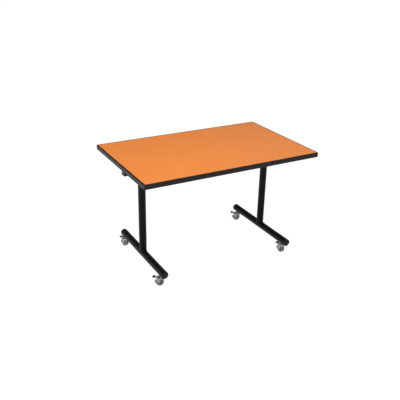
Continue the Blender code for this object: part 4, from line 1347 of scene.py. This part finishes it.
def hub():
    """Return the hub: a boss, a thin web and a rim, braced by ribs."""
    soft = 0.0004
    boss_radius, rim_inner = 0.0070, 0.0148
    web, rim_draft = 0.003, 0.0006
    rib_inner, rib_outer = 0.0062, 0.0150
    rib_half, rib_corner, rib_drop = 0.0008, 0.0005, 0.0012
    boss = FORK_GAP - RUNNING_GAP
    rim_face = TYRE_WIDTH / 2 - soft
    side = [(AXLE_RADIUS + FIT_GAP, boss), (boss_radius - soft, boss), (boss_radius, boss - soft)]
    side += [(boss_radius + soft, web), (rim_inner - rim_draft, web), (rim_inner, rim_face - soft)]
    side += [(rim_inner + soft, rim_face), (RIM_RADIUS - soft, rim_face), (RIM_RADIUS, rim_face - soft)]
    outline = rounded_rectangle((rib_outer - rib_inner) / 2, rib_half, rib_corner)
    rib = slab(outline, rib_drop - rim_face, rim_face - rib_drop)
    ribs = bpy.context.scene.table_casters.hub_ribs
    star = copied("ring", rib, "hub", {"Copies": ribs, "Radius": (rib_inner + rib_outer) / 2})
    whole = combined(turned(mirrored(side), WHEEL_SIDES), body_of(star), "UNION")
    return moved(placed(whole, ALONG_Y), WHEEL_CENTRE)


def axle():
    """Return the axle: a shaft with a hexagon head and washer at each side of the fork."""
    head_radius, head_height = 0.0041, 0.003
    face = FORK_OUTER + FIT_GAP
    pieces = [rod(AXLE_RADIUS, -face, face, place=ALONG_Y)]
    for _, side in SIDES:
        head = moved(bolt_body(head_radius, head_height, AXLE_RADIUS), (0.0, 0.0, face))
        pieces.append(placed(head, Matrix.Rotation(-side * math.pi / 2, 4, "X")))
    return moved(gathered(pieces), WHEEL_CENTRE)


def crown_outline():
    """Return the fork's crown seen from ahead: a sheet bent down at both sides."""
    bend = bpy.context.scene.table_casters.fork_bend
    lap = 0.005
    low = CROWN_BOTTOM - lap
    corner, level = FORK_OUTER - bend, CROWN_TOP - bend
    outline = [(FORK_OUTER, low), *arc((corner, level), bend, 0.0, 90.0, CORNER_STEPS)]
    outline += arc((-corner, level), bend, 90.0, 180.0, CORNER_STEPS)
    outline += [(-FORK_OUTER, low), (-FORK_GAP, low)]
    outline += arc((-corner, level), bend - FORK_WALL, 180.0, 90.0, CORNER_STEPS)
    return outline + arc((corner, level), bend - FORK_WALL, 90.0, 0.0, CORNER_STEPS) + [(FORK_GAP, low)]


def fork_leg_outline():
    """Return a fork leg, wrapped round the axle's eye, the pedal's pivot and its corner under the crown."""
    corner = 0.0025
    top = CROWN_TOP - bpy.context.scene.table_casters.fork_bend
    points = circle(FORK_EYE_RADIUS, centre=(WHEEL_CENTRE.x, WHEEL_CENTRE.z))
    points += circle(PEDAL_BARREL_RADIUS, centre=(PEDAL_PIVOT.x, PEDAL_PIVOT.z))
    return wrapped(points + circle(corner, centre=(FORK_LEG_FRONT - corner, top - corner)))


def ball_track():
    """Return the radius and the height of the bearing balls' centres."""
    ball = bpy.context.scene.table_casters.ball_radius
    return RACE_RADIUS - ball - RACE_LIP, FLANGE_BOTTOM - ball - BALL_PLAY


def race_profile():
    """Return the bearing's lower race: a cup with a groove for the balls."""
    soft = 0.0003
    ball = bpy.context.scene.table_casters.ball_radius
    track, level = ball_track()
    groove = arc((track, level), ball + BALL_PLAY, -35.0, -145.0, CORNER_STEPS)
    inner = STEM_RADIUS + FIT_GAP
    seat = CROWN_BOTTOM + FORK_WALL / 2
    land = FLANGE_BOTTOM - FIT_GAP
    rim = groove[0][1]
    profile = [(inner, seat), (RACE_RADIUS, seat), (RACE_RADIUS, rim - soft), (RACE_RADIUS - soft, rim)]
    return [*profile, *groove, (track - ball - RACE_LIP, land), (inner, land)]


def fork():
    """Return the pressed fork with its bearing race, drilled for stem, axle and pedal pin."""
    edge = bpy.context.scene.table_casters.sheet_edge
    pieces = [slab(crown_outline(), -CROWN_REAR, CROWN_FRONT, edge, place=ALONG_X)]
    for low in (-FORK_OUTER, FORK_GAP):
        pieces.append(slab(fork_leg_outline(), low, low + FORK_WALL, edge, place=ALONG_Y))
    pieces.append(turned(race_profile(), WHEEL_SIDES))
    holes = [rod(STEM_RADIUS + FIT_GAP, CROWN_BOTTOM - FORK_WALL, FLANGE_TOP)]
    for radius, place in ((AXLE_RADIUS, WHEEL_CENTRE), (PEDAL_PIN_RADIUS, PEDAL_PIVOT)):
        hole = rod(radius + FIT_GAP, -2 * FORK_OUTER, 2 * FORK_OUTER, place=ALONG_Y)
        holes.append(moved(hole, place))
    return cut(joined(pieces), holes)


def bearing_balls():
    settings = bpy.context.scene.table_casters
    track, level = ball_track()
    ball = bmesh.new()
    bmesh.ops.create_uvsphere(ball, u_segments=16, v_segments=10, radius=settings.ball_radius)
    sizes = {"Copies": settings.balls, "Radius": track}
    return body_of(copied("ring", moved(ball, (0.0, 0.0, level)), "zinc", sizes))


def stem():
    """Return a stem: a domed rivet under the crown, a rounded flange and a stud up into the foot."""
    rivet_top = CROWN_BOTTOM - FIT_GAP
    rivet_radius = 0.0075
    soft, chamfer = 0.0006, 0.001
    neck = STEM_RADIUS - FIT_GAP
    rim = (STEM_HIGH.x - STEM_LOW.x) / 2
    profile = [(0.0, STEM_LOW.z)]
    for across, rise in arc((0.0, 0.0), 1.0, 70.0, 0.0, CORNER_STEPS):
        profile.append((rivet_radius * across, rivet_top - (rivet_top - STEM_LOW.z) * rise))
    profile += [(neck, rivet_top), (neck, FLANGE_BOTTOM), (rim - soft, FLANGE_BOTTOM)]
    profile += [(rim, FLANGE_BOTTOM + soft), (rim, FLANGE_TOP - soft), (rim - soft, FLANGE_TOP)]
    profile += [(STEM_RADIUS, FLANGE_TOP), (STEM_RADIUS, STEM_HIGH.z - chamfer)]
    return turned([*profile, (STEM_RADIUS - chamfer, STEM_HIGH.z), (0.0, STEM_HIGH.z)], WHEEL_SIDES)


def pedal():
    """Return the brake pedal: one strip bent from a tab, over its barrel and down round the tyre."""
    edge = bpy.context.scene.table_casters.sheet_edge
    pivot = (PEDAL_PIVOT.x, PEDAL_PIVOT.z)
    centre = (WHEEL_CENTRE.x, WHEEL_CENTRE.z)
    start = math.degrees(math.atan2(pivot[1] - centre[1], pivot[0] - centre[0]))
    reach = WHEEL_RADIUS + SHOE_GAP + PEDAL_THICKNESS / 2
    half = PEDAL_WIDTH / 2
    barrel_half = FORK_GAP - RUNNING_GAP
    tip = PEDAL_PIVOT + PEDAL_DIRECTION * PEDAL_LENGTH
    barrel = slab(circle(PEDAL_BARREL_RADIUS), -barrel_half, barrel_half, edge, place=ALONG_Y)
    pin = rod(PEDAL_PIN_RADIUS, -FORK_OUTER, FORK_OUTER, place=ALONG_Y)
    pieces = [moved(barrel, PEDAL_PIVOT), moved(pin, PEDAL_PIVOT)]
    for path in ([(tip.x, tip.z), pivot], arc(centre, reach, start, SHOE_END_ANGLE, ARC_STEPS)):
        pieces.append(slab(ribbon(path, PEDAL_THICKNESS), -half, half, edge, place=ALONG_Y))
    return joined(pieces)


def pedal_tip():
    """Return the black cover on the pedal's tab, with ribs across its top."""
    cover_length, overhang = 0.014, 0.0012
    wall, side_wall = 0.0013, 0.0015
    corner, edge = 0.0045, 0.0014
    rib_half, rib_inset, rib_corner = 0.0006, 0.004, 0.0005
    rib_rise, rib_edge = 0.0006, 0.0003
    bare_ends = 0.005
    half_width = PEDAL_WIDTH / 2 + side_wall
    half = PEDAL_THICKNESS / 2 + wall
    cover = slab(rounded_rectangle(cover_length / 2, half_width, corner), -half, half, edge)
    rib_outline = rounded_rectangle(rib_half, half_width - rib_inset, rib_corner)
    rib = slab(rib_outline, 0.0, half + rib_rise, rib_edge)
    run = Vector((cover_length - bare_ends, 0.0, 0.0))
    whole = ribbed(cover, rib, bpy.context.scene.table_casters.tip_ribs, Vector(), run)
    back = -PEDAL_DIRECTION
    across = Vector((0.0, 1.0, 0.0))
    middle = PEDAL_PIVOT + PEDAL_DIRECTION * (PEDAL_LENGTH - cover_length / 2 + overhang)
    return placed(whole, frame_at(middle, back, across, back.cross(across)))


class TABLE_OT_wheels(bpy.types.Operator):
    """Make the casters' tyres and hubs"""
    bl_idname = "folding_table.wheels"
    bl_label = "Wheels"

    def execute(self, context):
        add_caster_pieces("tyre", tyre(), "tyre", "wheel", "tyre")
        add_caster_pieces("hub", hub(), "hub", "wheel", "hub")
        return {"FINISHED"}


class TABLE_OT_forks(bpy.types.Operator):
    """Make the casters' forks, axles, bearings and stems"""
    bl_idname = "folding_table.forks"
    bl_label = "Forks"

    def execute(self, context):
        add_caster_pieces("fork", fork(), "zinc", "swivel", "fork")
        add_caster_pieces("axle", axle(), "zinc", "swivel", "axle")
        add_caster_pieces("balls", bearing_balls(), "zinc", "swivel")
        add_caster_pieces("stem", stem(), "zinc", None, "caster_stem")
        return {"FINISHED"}


class TABLE_OT_pedals(bpy.types.Operator):
    """Make the casters' brake pedals and their covers"""
    bl_idname = "folding_table.pedals"
    bl_label = "Brake Pedals"

    def execute(self, context):
        add_caster_pieces("pedal", pedal(), "pedal", "pedal", "brake_pedal")
        add_caster_pieces("pedal_tip", pedal_tip(), "plastic", "pedal")
        return {"FINISHED"}


# Stage, with the radius and height of each ring of its sheets
FLOOR_SWEEP = ((30.0, 0.0), (38.0, 0.6), (46.0, 2.4), (53.0, 5.4), (58.0, 9.0), (60.0, 12.0))
BACKDROP_SWEEP = ((20.0, 66.0), (48.0, 52.0), (60.0, 30.0), (60.0, 12.0))
STAGE_SIDES = 64

# Each light's setting for its power, where it stands and its size
LIGHTS = (
    ("key", (-0.5, -0.8, 3.0), 2.6),
    ("side", (-2.6, 0.3, 0.35), 1.2),
    ("rear", (2.6, 2.4, 1.2), 1.8),
)
LIGHT_TARGET = Vector((0.0, 0.0, 0.45))


def stage_sheet(name, sweep):
    """Return a round sheet of the stage: a flat disc inside a swept rim."""
    settings = bpy.context.scene.table_stage
    points = []
    for radius, height in sweep:
        points += [(x, y, height) for x, y in circle(radius, STAGE_SIDES)]
    faces = [list(range(STAGE_SIDES))]
    for first in range(len(points) - STAGE_SIDES):
        second = first + 1 if (first + 1) % STAGE_SIDES else first + 1 - STAGE_SIDES
        faces.append((second, first, first + STAGE_SIDES, second + STAGE_SIDES))
    mesh = bpy.data.meshes.new(name)
    mesh.from_pydata(points, [], faces)
    made = Finish("pale_" + name, settings.floor, 0.8, specular=0.2)
    made.shader.inputs["Emission Color"].default_value = (1.0, 1.0, 1.0, 1.0)
    made.shader.inputs["Emission Strength"].default_value = settings.floor_glow
    mesh.materials.append(made.material)
    sheet = bpy.data.objects.new(name, mesh)
    bpy.context.scene.collection.objects.link(sheet)
    return sheet


def add_world():
    """Light the room from all round, dimmer below the horizon."""
    settings = bpy.context.scene.table_stage
    haze = 0.2
    world = bpy.data.worlds.new("studio")
    world.use_nodes = True
    tree = world.node_tree
    direction = wire(tree, "ShaderNodeTexCoord", {}, "Generated")
    height = wire(tree, "ShaderNodeSeparateXYZ", {"Vector": direction}, "Z")
    inputs = {"Value": height, "From Min": -haze, "From Max": haze,
              "To Min": settings.ground, "To Max": settings.sky}
    background = tree.nodes["Background"]
    background.inputs["Color"].default_value = (1.0, 1.0, 1.0, 1.0)
    tree.links.new(wire(tree, "ShaderNodeMapRange", inputs), background.inputs["Strength"])
    bpy.context.scene.world = world


def add_light(name, place, size, watts):
    light = bpy.data.lights.new(name, "AREA")
    light.size = size
    light.energy = watts
    lamp = bpy.data.objects.new(name, light)
    lamp.location = place
    lamp.rotation_euler = (LIGHT_TARGET - Vector(place)).to_track_quat("-Z", "Y").to_euler()
    bpy.context.scene.collection.objects.link(lamp)


def add_camera():
    settings = bpy.context.scene.table_stage
    camera = bpy.data.cameras.new("camera")
    camera.sensor_width = 36.0
    camera.lens = settings.lens
    stand = bpy.data.objects.new("camera", camera)
    stand.location = settings.camera_place
    stand.rotation_euler = settings.camera_turn
    bpy.context.scene.collection.objects.link(stand)
    bpy.context.scene.camera = stand


class TABLE_OT_stage(bpy.types.Operator):
    """Make the floor, a backdrop that is seen but lights nothing, the lights and the camera"""
    bl_idname = "folding_table.stage"
    bl_label = "Stage"

    def execute(self, context):
        context.scene.view_settings.view_transform = "Standard"
        add_world()
        stage_sheet("floor", FLOOR_SWEEP)
        backdrop = stage_sheet("backdrop", BACKDROP_SWEEP)
        backdrop.visible_diffuse = False
        backdrop.visible_glossy = False
        backdrop.visible_shadow = False
        for name, place, size in LIGHTS:
            add_light(name + "_light", place, size, getattr(context.scene.table_stage, name))
        add_camera()
        return {"FINISHED"}


SETTINGS = (
    ("table_top", TopSettings),
    ("table_frame", FrameSettings),
    ("table_casters", CasterSettings),
    ("table_stage", StageSettings),
)
OPERATORS = (
    TABLE_OT_top,
    TABLE_OT_hinges,
    TABLE_OT_beam,
    TABLE_OT_lock,
    TABLE_OT_legs,
    TABLE_OT_welds,
    TABLE_OT_fasteners,
    TABLE_OT_wheels,
    TABLE_OT_forks,
    TABLE_OT_pedals,
    TABLE_OT_stage,
)


class TABLE_PT_panel(bpy.types.Panel):
    """List the operators that make the table's pieces, and its settings"""
    bl_idname = "TABLE_PT_panel"
    bl_label = "Folding Table"
    bl_space_type = "VIEW_3D"
    bl_region_type = "UI"
    bl_category = "Folding Table"

    def draw(self, context):
        for operator in OPERATORS:
            self.layout.operator(operator.bl_idname)
        for name, group in SETTINGS:
            box = self.layout.box()
            for setting in group.__annotations__:
                box.prop(getattr(context.scene, name), setting)


def register():
    for name, group in SETTINGS:
        bpy.utils.register_class(group)
        setattr(bpy.types.Scene, name, PointerProperty(type=group))
    for owner in (*OPERATORS, TABLE_PT_panel):
        bpy.utils.register_class(owner)


def unregister():
    for owner in (TABLE_PT_panel, *reversed(OPERATORS)):
        bpy.utils.unregister_class(owner)
    for name, group in reversed(SETTINGS):
        delattr(bpy.types.Scene, name)
        bpy.utils.unregister_class(group)


def main():
    register()
    bpy.ops.folding_table.top()
    bpy.ops.folding_table.hinges()
    bpy.ops.folding_table.beam()
    bpy.ops.folding_table.lock()
    bpy.ops.folding_table.legs()
    bpy.ops.folding_table.welds()
    bpy.ops.folding_table.fasteners()
    bpy.ops.folding_table.wheels()
    bpy.ops.folding_table.forks()
    bpy.ops.folding_table.pedals()
    bpy.ops.folding_table.stage()


if __name__ == "__main__":
    main()
